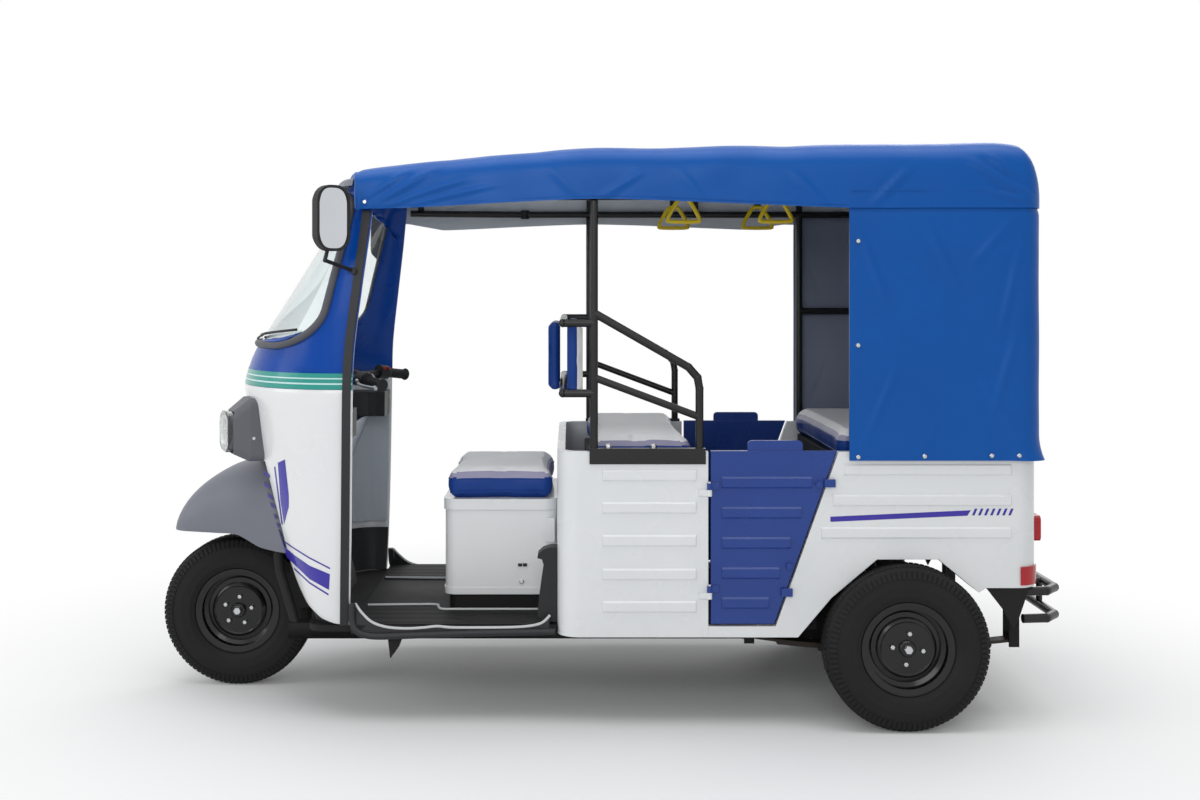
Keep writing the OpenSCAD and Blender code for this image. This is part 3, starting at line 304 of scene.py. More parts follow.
def sheet_grid(name, rows, material, heart, wrap=False):
    """An open skin over rows of points of equal length; wrap joins each row's ends."""
    cols = len(rows[0])
    points = [p for row in rows for p in row]
    span = cols if wrap else cols - 1
    faces = [(i * cols + j, i * cols + (j + 1) % cols, (i + 1) * cols + (j + 1) % cols, (i + 1) * cols + j)
             for i in range(len(rows) - 1) for j in range(span)]
    return face_out(from_data(name, points, faces, material), heart)


def thicken(thing, wall, edge=0.0):
    """Give a skin its wall, on the inside, and round the wall's rim."""
    layer = thing.modifiers.new("wall", "SOLIDIFY")
    layer.thickness, layer.offset = wall, -1
    if edge:
        rim = thing.modifiers.new("rim", "BEVEL")
        rim.width, rim.segments, rim.limit_method, rim.angle_limit = edge, 2, "ANGLE", math.radians(50)
    return bake(thing)


SIDES = ((-1, "left"), (1, "right"))
print("sides:", SIDES)

# %% [markdown]
# Seals, piping, seams and levers are all a round section that follows a path. A node tree does
# that once: the path's points go in as edges, and the tree sweeps a circle along them. Its radius
# and its finish are named inputs, so one tree serves every bead on the vehicle. Every tree on this
# page begins with its named inputs and ends as a plain mesh in one finish.

# %% A bead along a path
def new_tree(name, source, sizes):
    tree = bpy.data.node_groups.new(name, "GeometryNodeTree")
    for socket, kind in ((source, "Geometry"), *sizes, ("Finish", "Material")):
        tree.interface.new_socket(socket, in_out="INPUT", socket_type="NodeSocket" + kind)
    return tree, add(tree, "NodeGroupInput").outputs


def end_tree(tree, given, geometry, result):
    tree.interface.new_socket(result, in_out="OUTPUT", socket_type="NodeSocketGeometry")
    real = add(tree, "GeometryNodeRealizeInstances", {"Geometry": geometry})
    dressed = add(tree, "GeometryNodeSetMaterial", {"Geometry": real.outputs["Geometry"], "Material": given["Finish"]})
    add(tree, "NodeGroupOutput", {result: dressed.outputs["Geometry"]})
    return tree


def bead_tree():
    tree, given = new_tree("bead_along_path", "Path", (("Radius", "Float"), ("Sides", "Int")))
    curve = add(tree, "GeometryNodeMeshToCurve", {"Mesh": given["Path"]})
    ring = add(tree, "GeometryNodeCurvePrimitiveCircle", {"Resolution": given["Sides"], "Radius": given["Radius"]})
    swept = add(tree, "GeometryNodeCurveToMesh", {"Curve": curve.outputs["Curve"],
                                                  "Profile Curve": ring.outputs["Curve"], "Fill Caps": True})
    return end_tree(tree, given, swept.outputs["Mesh"], "Bead")


def run_tree(thing, tree, values):
    """Set a tree's named inputs by identifier, then keep its result as a plain mesh."""
    modifier = thing.modifiers.new("nodes", "NODES")
    modifier.node_group = tree
    sockets = {i.name: i.identifier for i in tree.interface.items_tree if i.in_out == "INPUT"}
    for key, value in values.items():
        modifier[sockets[key]] = value
    return bake(thing)


BEAD = bead_tree()


def bead(name, paths, radius, material, closed=False, sides=12):
    points, edges = [], []
    for one in paths:
        first = len(points)
        points += [tuple(p) for p in one]
        edges += [(first + i, first + i + 1) for i in range(len(one) - 1)]
        if closed:
            edges.append((len(points) - 1, first))
    mesh = bpy.data.meshes.new(name)
    mesh.from_pydata(points, edges, [])
    thing = bpy.data.objects.new(name, mesh)
    scene.collection.objects.link(thing)
    return run_tree(thing, BEAD, {"Radius": radius, "Sides": sides, "Finish": material})


def eased(points, steps=8):
    """A smooth line through a few points."""
    pts = [Vector(p) for p in points]
    out = []
    for i in range(len(pts) - 1):
        a, b = pts[max(i - 1, 0)], pts[i]
        c, d = pts[i + 1], pts[min(i + 2, len(pts) - 1)]
        for s in range(steps):
            t = s / steps
            out.append(0.5 * (2 * b + (c - a) * t + (2 * a - 5 * b + 4 * c - d) * t * t
                              + (3 * b - a - 3 * c + d) * t ** 3))
    return out + [pts[-1]]


print("bead inputs:", [i.name for i in BEAD.interface.items_tree if i.in_out == "INPUT"])

# %% [markdown]
# Screws, snaps and wheel nuts are one small shape set down many times. The second tree takes points
# that carry the way each head faces, and stands a skirt with a tapered top on each: many sides for
# a screw or a snap, six for a nut.

# %% Heads on points
def heads_tree():
    tree, given = new_tree("heads_on_points", "Points", (("Radius", "Float"), ("Height", "Float"), ("Sides", "Int"),
                                                         ("Taper", "Float")))
    top = add(tree, "ShaderNodeMath", {0: given["Radius"], 1: given["Taper"]}, operation="MULTIPLY")
    half = add(tree, "ShaderNodeMath", {0: given["Height"], 1: 0.5}, operation="MULTIPLY")
    head = add(tree, "GeometryNodeMeshCone", {"Vertices": given["Sides"], "Radius Top": top.outputs["Value"],
                                              "Radius Bottom": given["Radius"], "Depth": half.outputs["Value"]})
    lift = add(tree, "ShaderNodeCombineXYZ", {"Z": half.outputs["Value"]})
    skirt = add(tree, "GeometryNodeMeshCylinder", {"Vertices": given["Sides"], "Radius": given["Radius"],
                                                   "Depth": given["Height"]})
    raised = add(tree, "GeometryNodeTransform", {"Geometry": head.outputs["Mesh"],
                                                 "Translation": lift.outputs["Vector"]})
    both = add(tree, "GeometryNodeJoinGeometry")
    tree.links.new(skirt.outputs["Mesh"], both.inputs["Geometry"])
    tree.links.new(raised.outputs["Geometry"], both.inputs["Geometry"])
    way = add(tree, "GeometryNodeInputNamedAttribute", {"Name": "facing"}, data_type="FLOAT_VECTOR")
    turn = add(tree, "FunctionNodeAlignRotationToVector", {"Vector": way.outputs["Attribute"]}, axis="Z")
    stood = add(tree, "GeometryNodeInstanceOnPoints", {"Points": given["Points"], "Instance": both.outputs["Geometry"],
                                                       "Rotation": turn.outputs["Rotation"]})
    return end_tree(tree, given, stood.outputs["Instances"], "Heads")


HEADS = heads_tree()


def heads(name, spots, radius, height, material, sides=16, taper=0.7):
    """spots: (place, facing) pairs."""
    mesh = bpy.data.meshes.new(name)
    mesh.from_pydata([tuple(p) for p, _ in spots], [], [])
    facing = mesh.attributes.new("facing", "FLOAT_VECTOR", "POINT")
    for i, (_, way) in enumerate(spots):
        facing.data[i].vector = tuple(way)
    thing = bpy.data.objects.new(name, mesh)
    scene.collection.objects.link(thing)
    return run_tree(thing, HEADS, {"Radius": radius, "Height": height, "Sides": sides, "Taper": taper,
                                   "Finish": material})


UP = (0, 0, 1)
print("heads inputs:", [i.name for i in HEADS.interface.items_tree if i.in_out == "INPUT"])

# %% [markdown]
# The cowl is one moulded skin that wraps the nose. Seen from above each level is half an ellipse
# with a short straight return; the table gives, level by level, where the nose, the side and the
# rear edge are. The solid model uses the same numbers with straight runs between levels, and here
# a smooth curve runs through them.

# %% Cowl surface
COWL_LEVELS = [
    (300, -985, 428, -768), (420, -1030, 446, -764), (600, -1090, 458, -760), (800, -1142, 466, -757),
    (970, -1174, 470, -755), (1040, -1184, 470, -754), (1160, -1142, 466, -750), (1350, -1020, 452, -728),
    (1524, -907, 434, -706), (1640, -838, 420, -694), (1700, -812, 412, -689),
]
COWL_RETURN, COWL_WALL = 40, 14
SIDE_EDGE, REAR_EDGE = 90, 100
CABIN = (-0.72, 0.0, 0.9)
NOSE_LINE = [(-1500, 796), (-1062, 796), (-1000, 560), (-978, 480), (-950, 410), (-912, 352), (-860, 318),
             (-812, 304), (-770, 300)]


def through(table, at, column):
    """Smooth value between the rows of a table whose first column rises."""
    rows = [r[0] for r in table]
    at = min(max(at, rows[0]), rows[-1])
    i = max(k for k in range(len(rows) - 1) if rows[k] <= at)
    def slope(k):
        lo, hi = max(k - 1, 0), min(k + 1, len(rows) - 1)
        return (table[hi][column] - table[lo][column]) / (rows[hi] - rows[lo])
    width = rows[i + 1] - rows[i]
    t = (at - rows[i]) / width
    a, b = table[i][column], table[i + 1][column]
    return ((2 * t ** 3 - 3 * t * t + 1) * a + (t ** 3 - 2 * t * t + t) * width * slope(i)
            + (3 * t * t - 2 * t ** 3) * b + (t ** 3 - t * t) * width * slope(i + 1))


def straight(table, at):
    for (x0, y0), (x1, y1) in zip(table, table[1:]):
        if x0 <= at <= x1:
            return y0 + (y1 - y0) * (at - x0) / (x1 - x0)
    return table[-1][1] if at > table[-1][0] else table[0][1]


def cowl(a, z, inset=0.0):
    """Point of the cowl's face, in metres: a is 0 at the nose, 90 at the side, 100 at the rear edge."""
    base = through(COWL_LEVELS, z, 3) - COWL_RETURN
    half = through(COWL_LEVELS, z, 2) - inset
    deep = base - through(COWL_LEVELS, z, 1) - inset
    side = -1 if a < 0 else 1
    if abs(a) <= SIDE_EDGE:
        x, y = base - deep * math.cos(math.radians(a)), half * math.sin(math.radians(a))
    else:
        x, y = base + (abs(a) - SIDE_EDGE) / (REAR_EDGE - SIDE_EDGE) * COWL_RETURN, side * half
    return Vector((x, y, z)) * MM


def spread(a, b, n):
    return [a + (b - a) * i / n for i in range(n + 1)]


COWL_ANGLES = [-REAR_EDGE, -95] + spread(-SIDE_EDGE, SIDE_EDGE, 60) + [95, REAR_EDGE]


def cowl_foot(a):
    """Lowest height of the cowl at an angle, where its face meets the line cut for the wheel."""
    low, high = 296.0, 830.0
    for _ in range(30):
        mid = (low + high) / 2
        x = cowl(a, mid).x / MM
        if mid < straight(NOSE_LINE, x):
            low = mid
        else:
            high = mid
    return high


BELT = 1040
feet = [cowl_foot(a) for a in COWL_ANGLES]
rows = [[cowl(a, foot + (BELT - foot) * t) for a, foot in zip(COWL_ANGLES, feet)] for t in spread(0, 1, 36)]
front_shell = sheet_grid("front_cowl_shell", rows, white_gelcoat, CABIN)
thicken(front_shell, COWL_WALL * MM, 0.004)
settle(front_shell, "chassis", ["front_cowl"])
print("cowl foot heights:", round(min(feet)), "to", round(max(feet)), "mm")

# %% [markdown]
# Above the belt line the same skin carries on in blue and is cut for the windscreen. The opening
# has generous round lower corners, so the mesh is laid out as rings that run from the opening's
# edge to the skin's outer edge; a ray from the middle pairs the two.

# %% Windscreen frame, glass and seal
BROW = 1700
SCREEN_LOW, SCREEN_TOP, SCREEN_SIDE = 1180, 1640, 76
SCREEN_MID = (SCREEN_LOW + SCREEN_TOP) / 2
SCREEN_HEART = (-0.7, 0, 1.4)
# Corner radii of the opening: degrees round the nose and millimetres up
LOW_CORNER = (30.0, 118.0)
TOP_CORNER = (14.0, 52.0)


def opening_edge(t, grow=0.0):
    """Angle and height on the opening's edge along a ray; t goes once round from 0 to 1."""
    way = (math.cos(2 * math.pi * t), math.sin(2 * math.pi * t))
    half_a, half_z = SCREEN_SIDE + grow / 7.5, (SCREEN_TOP - SCREEN_LOW) / 2 + grow
    reach = 1.0 / max(abs(way[0]), abs(way[1]))
    lo, hi = 0.0, reach
    ca, cz = (LOW_CORNER if way[1] < 0 else TOP_CORNER)
    for _ in range(40):
        k = (lo + hi) / 2
        u, v = abs(way[0]) * k * half_a, abs(way[1]) * k * half_z
        du, dv = (u - (half_a - ca)) / ca, (v - (half_z - cz)) / cz
        inside = u <= half_a and v <= half_z and (du <= 0 or dv <= 0 or du * du + dv * dv <= 1)
        lo, hi = (k, hi) if inside else (lo, k)
    return way[0] * lo * half_a, SCREEN_MID + way[1] * lo * half_z


def outer_edge(t):
    """Angle and height on the skin's outer edge along the same ray."""
    way = (math.cos(2 * math.pi * t), math.sin(2 * math.pi * t))
    tall = BROW - SCREEN_MID if way[1] > 0 else SCREEN_MID - BELT
    k = min(limit / abs(part) for limit, part in ((REAR_EDGE, way[0]), (tall, way[1])) if part)
    return way[0] * k, SCREEN_MID + way[1] * k


corner_turns = [math.atan2(z - SCREEN_MID, a) / (2 * math.pi) % 1 for z, a in
                ((BROW, REAR_EDGE), (BROW, -REAR_EDGE), (BELT, -REAR_EDGE), (BELT, REAR_EDGE))]
turns = sorted([i / 240 for i in range(240)] + corner_turns)
turns = [t for i, t in enumerate(turns) if i == 0 or t - turns[i - 1] > 1e-4]
rings = []
for k in (0, 0.06, 0.2, 0.4, 0.6, 0.8, 1.0):
    ring = []
    for t in turns:
        (a0, z0), (a1, z1) = opening_edge(t), outer_edge(t)
        ring.append(cowl(a0 + (a1 - a0) * k, z0 + (z1 - z0) * k))
    rings.append(ring)
frame_shell = sheet_grid("windscreen_frame_shell", rings, blue_gelcoat, SCREEN_HEART, wrap=True)
thicken(frame_shell, COWL_WALL * MM, 0.003)
settle(frame_shell, "chassis", ["windscreen_frame"])

pane_turns = turns[::2]
PANE_INSET, PANE_OVERLAP, SEAL_LIFT, SEAL_OVERLAP = 4.0, 8.0, 3.0, 6.0
pane_edge = [opening_edge(t, PANE_OVERLAP) for t in pane_turns]
pane_rows = [[cowl(a * k, SCREEN_MID + (z - SCREEN_MID) * k, PANE_INSET) for a, z in pane_edge]
             for k in spread(1 / 14, 1.0, 13)]
screen_glass = sheet_grid("windscreen_pane", pane_rows, clear_glass, SCREEN_HEART, wrap=True)
work = bmesh.new()
work.from_mesh(screen_glass.data)
bmesh.ops.holes_fill(work, edges=[e for e in work.edges if e.is_boundary and
                                  max(abs(v.co.z - SCREEN_MID * MM) for v in e.verts) < 0.03], sides=0)
bmesh.ops.recalc_face_normals(work, faces=work.faces)
work.to_mesh(screen_glass.data)
work.free()
thicken(screen_glass, 0.005)
settle(screen_glass, "chassis", ["windscreen_glass"])

seal_line = [cowl(*opening_edge(t, SEAL_OVERLAP), -SEAL_LIFT) for t in turns]
screen_seal = bead("windscreen_seal_bead", [seal_line], 0.0125, seal_rubber, closed=True, sides=14)
settle(screen_seal, "chassis", ["windscreen_seal"])
print("seal length", round(sum((b - a).length for a, b in zip(seal_line, seal_line[1:])), 2), "m")

# %% [markdown]
# The mudguard is a smooth hollow arch that widens from a blunt tip over the wheel back to the
# cowl. Its sections are a table of position, half width, crown and hem, joined by smooth curves.

# %% Front mudguard
MUDGUARD = [
    (-1414, 88, 556, 542), (-1404, 112, 596, 542), (-1374, 138, 646, 543), (-1322, 160, 696, 544),
    (-1246, 188, 744, 545), (-1180, 213, 768, 545), (-1140, 229, 778, 530), (-1096, 246, 787, 510),
    (-1040, 268, 796, 500), (-992, 288, 802, 496),
]


def guard_point(x, turn):
    half, crown, hem = (through(MUDGUARD, x, c) for c in (1, 2, 3))
    c, s = math.cos(math.radians(turn)), max(math.sin(math.radians(turn)), 0.0)
    return Vector((x, half * math.copysign(abs(c) ** 0.7, c), hem + (crown - hem) * s ** 0.75)) * MM


guard_x = [-1414, -1411, -1407, -1401, -1392] + spread(-1380, -992, 40)
guard = sheet_grid("front_mudguard_shell", [[guard_point(x, t) for t in spread(0, 180, 56)] for x in guard_x],
                   grey_moulding, (-1.1, 0, 0.5))
thicken(guard, 0.006, 0.002)
settle(guard, "chassis", ["front_mudguard"])
print("mudguard faces:", len(guard.data.polygons))

# %% [markdown]
# The steel panels, boxes, tubes and brackets keep the solids' own meshes. A pressed or folded edge
# is never knife sharp, so every hard finish rounds its edges as it is shaded, by the radius that
# the metal or the moulding would have, and that rounding catches the light.

# %% Finishes of the solids
def dress(node, material):
    """A solid that keeps its own mesh gets its finish and smooth shading."""
    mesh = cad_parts[node].data
    mesh.materials.clear()
    mesh.materials.append(material)
    smooth(mesh, 30)


FINISH_OF = {
    white_enamel: ("front_tub", "rear_tub"), white_gelcoat: ("driver_seat_box",), lining_grey: ("leg_shield",),
    underbody_black: ("tub_floor", "bench_boxes", "floor_pan", "rear_splash_guards", "wheel_well", "chassis_frame",
                      "rear_axle"),
    black_moulding: ("dash_tray", "handlebar", "mirror_housings"), grey_moulding: ("sun_visor",),
    dark_moulding: ("headlamp_pods",), blue_enamel: ("left_door", "right_door"), edge_rubber: ("door_frame_trim",),
    black_enamel: ("side_rails", "roof_frame", "roof_bows", "rear_bumper", "fork_leg"),
    wheel_black: ("front_rim", "left_rim", "right_rim"),
    spring_steel: ("leaf_springs",), bare_steel: ("steering_column",), red_lens: ("tail_lamps",),
    tyre_rubber: ("front_tyre", "left_tyre", "right_tyre"),
}
for material, nodes in FINISH_OF.items():
    for node in nodes:
        dress(node, material)
print("dressed solids:", sum(len(n) for n in FINISH_OF.values()))

# %% [markdown]
# The canopy and the seats are coated cloth. Both finishes are a fine woven grain under a soft
# plastic film: the grain is two crossed sets of threads at the cloth's real pitch, and the film
# gives broad, slightly broken highlights. The inside of the roof shows the grey backing.

# %% Coated cloth finishes
def coated_cloth(name, colour, other, roughness, thread_mm=1.2, relief=0.12, coat=0.06):
    material, tree, shader, place = new_material(name)
    wide = add(tree, "ShaderNodeTexNoise", {"Vector": place, "Scale": 7.0, "Detail": 5.0})
    tone = add(tree, "ShaderNodeMix", {"Factor": wide.outputs["Fac"], "A": linear(colour), "B": linear(other)},
               data_type="RGBA")
    tree.links.new(tone.outputs["Result"], shader.inputs["Base Color"])
    gloss = add(tree, "ShaderNodeMapRange", {"Value": wide.outputs["Fac"], "From Min": 0.3, "From Max": 0.7,
                                             "To Min": roughness - 0.06, "To Max": roughness + 0.08})
    tree.links.new(gloss.outputs["Result"], shader.inputs["Roughness"])
    weave = [add(tree, "ShaderNodeTexWave", {"Vector": place, "Scale": 1000 / thread_mm / 20, "Distortion": 0.6},
                 bands_direction=way).outputs["Fac"] for way in ("X", "Z")]
    crossed = add(tree, "ShaderNodeMath", {0: weave[0], 1: weave[1]}, operation="MULTIPLY")
    bump = add(tree, "ShaderNodeBump", {"Height": crossed.outputs["Value"], "Strength": relief, "Distance": 0.0004})
    tree.links.new(bump.outputs["Normal"], shader.inputs["Normal"])
    shader.inputs["Coat Weight"].default_value = coat
    shader.inputs["Coat Roughness"].default_value = 0.25
    shader.inputs["Specular IOR Level"].default_value = 0.2
    return material


canopy_blue = coated_cloth("canopy_blue", "#0056AA", "#004D9C", 0.38, coat=0.04)
canopy_backing = coated_cloth("canopy_backing", "#DCE1E8", "#D3D9E0", 0.7, relief=0.2, coat=0.0)
curtain_backing = coated_cloth("curtain_backing", "#828A9E", "#7A8296", 0.7, relief=0.2, coat=0.0)
seat_blue = coated_cloth("seat_blue", "#12408F", "#0E3783", 0.42, thread_mm=1.6)
seat_pale = coated_cloth("seat_pale", "#F3F4F5", "#ECEDEF", 0.5, thread_mm=1.6)
print("cloth finishes:", [m.name for m in (canopy_blue, canopy_backing, curtain_backing, seat_blue, seat_pale)])

# %% [markdown]
# The roof is one sheet of coated cloth pulled over the bows. Across the vehicle it is a flat
# crown with tight shoulders, a superellipse; along the vehicle the table gives its half width,
# crown and hem. At the front it narrows down on to the top of the windscreen frame and closes it.
# Two things break the smooth shape: the cloth dips a little between bows, and tension wrinkles run
# off the places where it is held. A stitched seam follows each side above the curtain.

# %% Canopy sheet
ROOF = [
    (-814, 60, 1716, 1705), (-806, 160, 1719, 1704.5), (-794, 262, 1722, 1704), (-780, 328, 1726, 1703.5),
    (-768, 366, 1729.5, 1703), (-760, 396, 1732, 1696), (-754, 436, 1733.5, 1660), (-748, 462, 1735, 1606),
    (-730, 466, 1742, 1603), (-620, 478, 1756, 1604), (-480, 494, 1772, 1609),
    (-250, 510, 1792, 1621), (-16, 520, 1806, 1630), (160, 520, 1809, 1627), (340, 520, 1812, 1620),
    (560, 520, 1816, 1611), (780, 520, 1820, 1603), (1040, 520, 1824, 1603), (1240, 520, 1825, 1603),
    (1314, 520, 1818, 1603), (1335, 516.8, 1806, 1603), (1352.5, 508.5, 1786, 1603), (1366.5, 496.3, 1758, 1603),
    (1377, 480.5, 1720, 1603), (1381.9, 467, 1672, 1603), (1384, 450, 1611, 1603),
]
BOWS, BOW_DIP, BOW_EASE = (-640, -4, 400, 797, 1290), 5.0, 180.0
FAR_HEM_DROP = 26.0
FAR_HEM_SHARE = [(-900, 0), (-690, 0), (-560, 1), (600, 1), (740, 0), (1400, 0)]
SHOULDER_POWER = 6.25
BACK_TURN, BACK_DEEP = 1314, 70.0
# Each wrinkle is a line on the cloth, seen from its side: start, end, height and half width in mm
WRINKLES = [
    ((-690, 1612), (-470, 1742), 7, 16), ((-660, 1608), (-380, 1700), 5, 14), ((-700, 1640), (-560, 1740), 5, 12),
    ((-560, 1618), (-300, 1676), 4, 14), ((-60, 1640), (-150, 1740), 5, 15), ((30, 1640), (150, 1720), 5, 16),
    ((330, 1630), (250, 1730), 4, 14), ((700, 1620), (600, 1720), 5, 16), ((860, 1618), (980, 1740), 5, 18),
    ((1330, 1640), (1130, 1760), 8, 20), ((1340, 1620), (1190, 1660), 6, 16), ((1300, 1690), (1180, 1790), 6, 16),
]


def ridge(x, z, lines):
    """Height of the wrinkles at a place on the side of the cloth."""
    rise = 0.0
    for (x0, z0), (x1, z1), height, half in lines:
        dx, dz = x1 - x0, z1 - z0
        along = ((x - x0) * dx + (z - z0) * dz) / (dx * dx + dz * dz)
        off = ((x - x0) * dz - (z - z0) * dx) / math.hypot(dx, dz)
        fade = max(0.0, math.sin(math.pi * min(max(along * 0.9 + 0.1, 0.0), 1.0))) ** 0.8
        rise += height * fade * math.exp(-(off / half) ** 2) * math.cos(off / half * 2.2)
    return rise


def roof(x, turn):
    """Place on the cloth: x in mm, turn from 0 at the far hem to 180 at the near hem."""
    half, crown, hem = (through(ROOF, x, c) for c in (1, 2, 3))
    gap = min(abs(x - b) for b in BOWS)
    c, s = math.cos(math.radians(turn)), math.sin(math.radians(turn))
    if c > 0:
        hem -= FAR_HEM_DROP * straight(FAR_HEM_SHARE, x)
    reach = (abs(c) ** SHOULDER_POWER + abs(s) ** SHOULDER_POWER) ** (-1 / SHOULDER_POWER)
    crown -= BOW_DIP * min(gap / BOW_EASE, 1.0) ** 2 * max(s, 0.0)
    y, z = half * reach * c, hem + (crown - hem) * reach * max(s, 0.0)
    side = min(max((abs(reach * c) - 0.7) / 0.3, 0.0), 1.0)
    swell = ridge(x, z, WRINKLES) * side + 2.5 * noise.noise(Vector((x * 0.006, y * 0.006, z * 0.009)))
    back = min(max((x - BACK_TURN) / BACK_DEEP, 0.0), 1.0)
    out = Vector((back, (1 - back) * side * math.copysign(1, c), (1 - side) * (1 - back)))
    return (Vector((x, y, z)) + out * (swell - 3.0)) * MM


roof_x = spread(-814, -764, 12) + spread(-760, -732, 14) + spread(-728, BACK_TURN, 136) + spread(1317, 1384, 16)
roof_turns = spread(0, 180, 132)
roof_cloth = sheet_grid("canopy_cloth", [[roof(x, t) for t in roof_turns] for x in roof_x],
                        [canopy_blue, canopy_backing], (0.3, 0, 1.3))
along = [roof(x, 90) for x in roof_x]
across = [roof(400, t) for t in roof_turns]
print("canopy lengths:", [round(sum((b - a).length for a, b in zip(r, r[1:])), 3) for r in (across, along)], "m")


def cloth_wall(thing, wall=0.0025):
    """Give a cloth skin its thickness, with the backing on the inside."""
    layer = thing.modifiers.new("wall", "SOLIDIFY")
    layer.thickness, layer.offset, layer.material_offset = wall, -1, 1
    return bake(thing, 60)


cloth_wall(roof_cloth)
settle(roof_cloth, "chassis", ["canopy"])


def roof_at(x, z):
    """Place on the far side of the roof at a height."""
    lo, hi = 0.0, 60.0
    for _ in range(24):
        mid = (lo + hi) / 2
        lo, hi = (mid, hi) if roof(x, mid).z < z * MM else (lo, mid)
    return roof(x, lo)


seam = [roof_at(x, 1654 + 0.008 * (x - 780)) for x in spread(784, 1318, 60)]
hem = [roof_at(x, through(ROOF, x, 3) + 9) for x in spread(-740, 776, 120)]
for side, word in SIDES:
    runs = [[Vector((p.x, side * p.y, p.z)) for p in line] for line in (seam, hem)]
    settle(bead("canopy_seam_" + word, runs, 0.0014, canopy_blue, sides=8), "chassis")

# %% [markdown]
# The rear of the cabin is closed by a second sheet that hangs from the roof's hem, wraps round
# both rear corners and is pressed on to snaps along the tub. It bellies slightly between the
# posts, puckers at the snaps, and its free lower rear corner is pushed outwards.

# %% Rear curtain
CURTAIN_FRONT, CORNER_X, REAR_X, SIDE_Y, CORNER_R = 780, 1314, 1384, 518, 70
CURTAIN_FOOT, ROOF_HEM, CURTAIN_TOP = 826, 1603, 1626
CORNER_FLARE, HEM_TUCK, POST_X, POST_GAP = 20.0, 5.0, 797, 490
CURTAIN_WRINKLES = [
    ((800, 1560), (900, 1300), 5, 18), ((820, 860), (930, 1120), 5, 18), ((1000, 1590), (1120, 1350), 5, 22),
    ((1290, 1580), (1150, 1420), 6, 20), ((1300, 900), (1180, 1080), 6, 20), ((1000, 850), (1060, 960), 4, 14),
    ((1310, 1500), (1240, 1200), 4, 18), ((900, 850), (880, 940), 4, 12), ((1290, 1200), (1200, 900), 4, 20),
]
flat_run, arc_run, back_run = CORNER_X - CURTAIN_FRONT, CORNER_R * math.pi / 2, SIDE_Y - CORNER_R


def curtain(s, z):
    """s runs from 0 in the middle of the back to the front edge of one side."""
    mirror, s = (-1 if s < 0 else 1), abs(s)
    if s < back_run:
        x, y, way = REAR_X, s, (1.0, 0.0)
    elif s < back_run + arc_run:
        turn = (s - back_run) / CORNER_R
        x, y = CORNER_X + CORNER_R * math.cos(turn), SIDE_Y - CORNER_R + CORNER_R * math.sin(turn)
        way = (math.cos(turn), math.sin(turn))
    else:
        x, y, way = CORNER_X - (s - back_run - arc_run), SIDE_Y, (0.0, 1.0)
    up = (z - CURTAIN_FOOT) / (ROOF_HEM - CURTAIN_FOOT)
    free = math.sin(math.pi * min(max(up, 0.0), 1.0))
    side = min(max((s - back_run - 20) / 120, 0.0), 1.0)
    swell = -3.0 + side * free * ridge(x, z, CURTAIN_WRINKLES)
    swell += free * 3.0 * noise.noise(Vector((x * 0.005 + 3, s * 0.004, z * 0.004)))
    swell -= 4.0 * free * math.sin(math.pi * min(max((x - POST_X) / POST_GAP, 0.0), 1.0)) * side
    flare = max(0.0, 1 - abs(s - back_run - arc_run * 0.4) / 110) * max(0.0, 1 - (z - CURTAIN_FOOT) / 80) ** 2
    swell += CORNER_FLARE * flare - HEM_TUCK * min(max((z - 1584) / 18, 0.0), 1.0)
    return Vector((x + way[0] * swell, mirror * (y + way[1] * swell), z)) * MM


run = back_run + arc_run + flat_run
columns = [-v for v in spread(run, back_run + arc_run, 56) + spread(back_run + arc_run, back_run, 14)[1:]]
columns += spread(-back_run, back_run, 70)[1:] + [-v for v in columns[::-1]][1:]
curtain_rows = [[curtain(s, z) for s in columns] for z in spread(CURTAIN_FOOT, CURTAIN_TOP, 90)]
curtain_cloth = sheet_grid("rear_curtain", curtain_rows, [canopy_blue, curtain_backing], (1.0, 0, 1.2))
print("curtain area:", round(sum(f.area for f in curtain_cloth.data.polygons), 2), "m2")
cloth_wall(curtain_cloth)
settle(curtain_cloth, "chassis", ["curtains"])

# %% [markdown]
# The seats are foam under stretched vinyl. Each cushion starts as a rounded block a little smaller
# than its solid, is remeshed evenly, and is then blown up as a cloth bag under pressure for a few
# frames and eased by a smoothing pass. How far a point may travel is capped, so that the crown
# rises, the sides belly out between the corners, and the cushion still fits the space that its
# solid holds. Colours are picked on the block, before it swells, so that their borders stay straight.

# %% Cushions
# The lilac grey is painted shade: it goes on the sloping faces of the pale top, where less light falls.
seat_painted_shade = coated_cloth("seat_painted_shade", "#A6A4BE", "#9E9CB8", 0.42, thread_mm=1.6)
SEAT_BLUE, SEAT_PAINTED_SHADE, SEAT_PALE = 0, 1, 2
PUFF_FRAMES, PUFF_FORCE = 20, 4.0
CROWN_RISE = 0.004


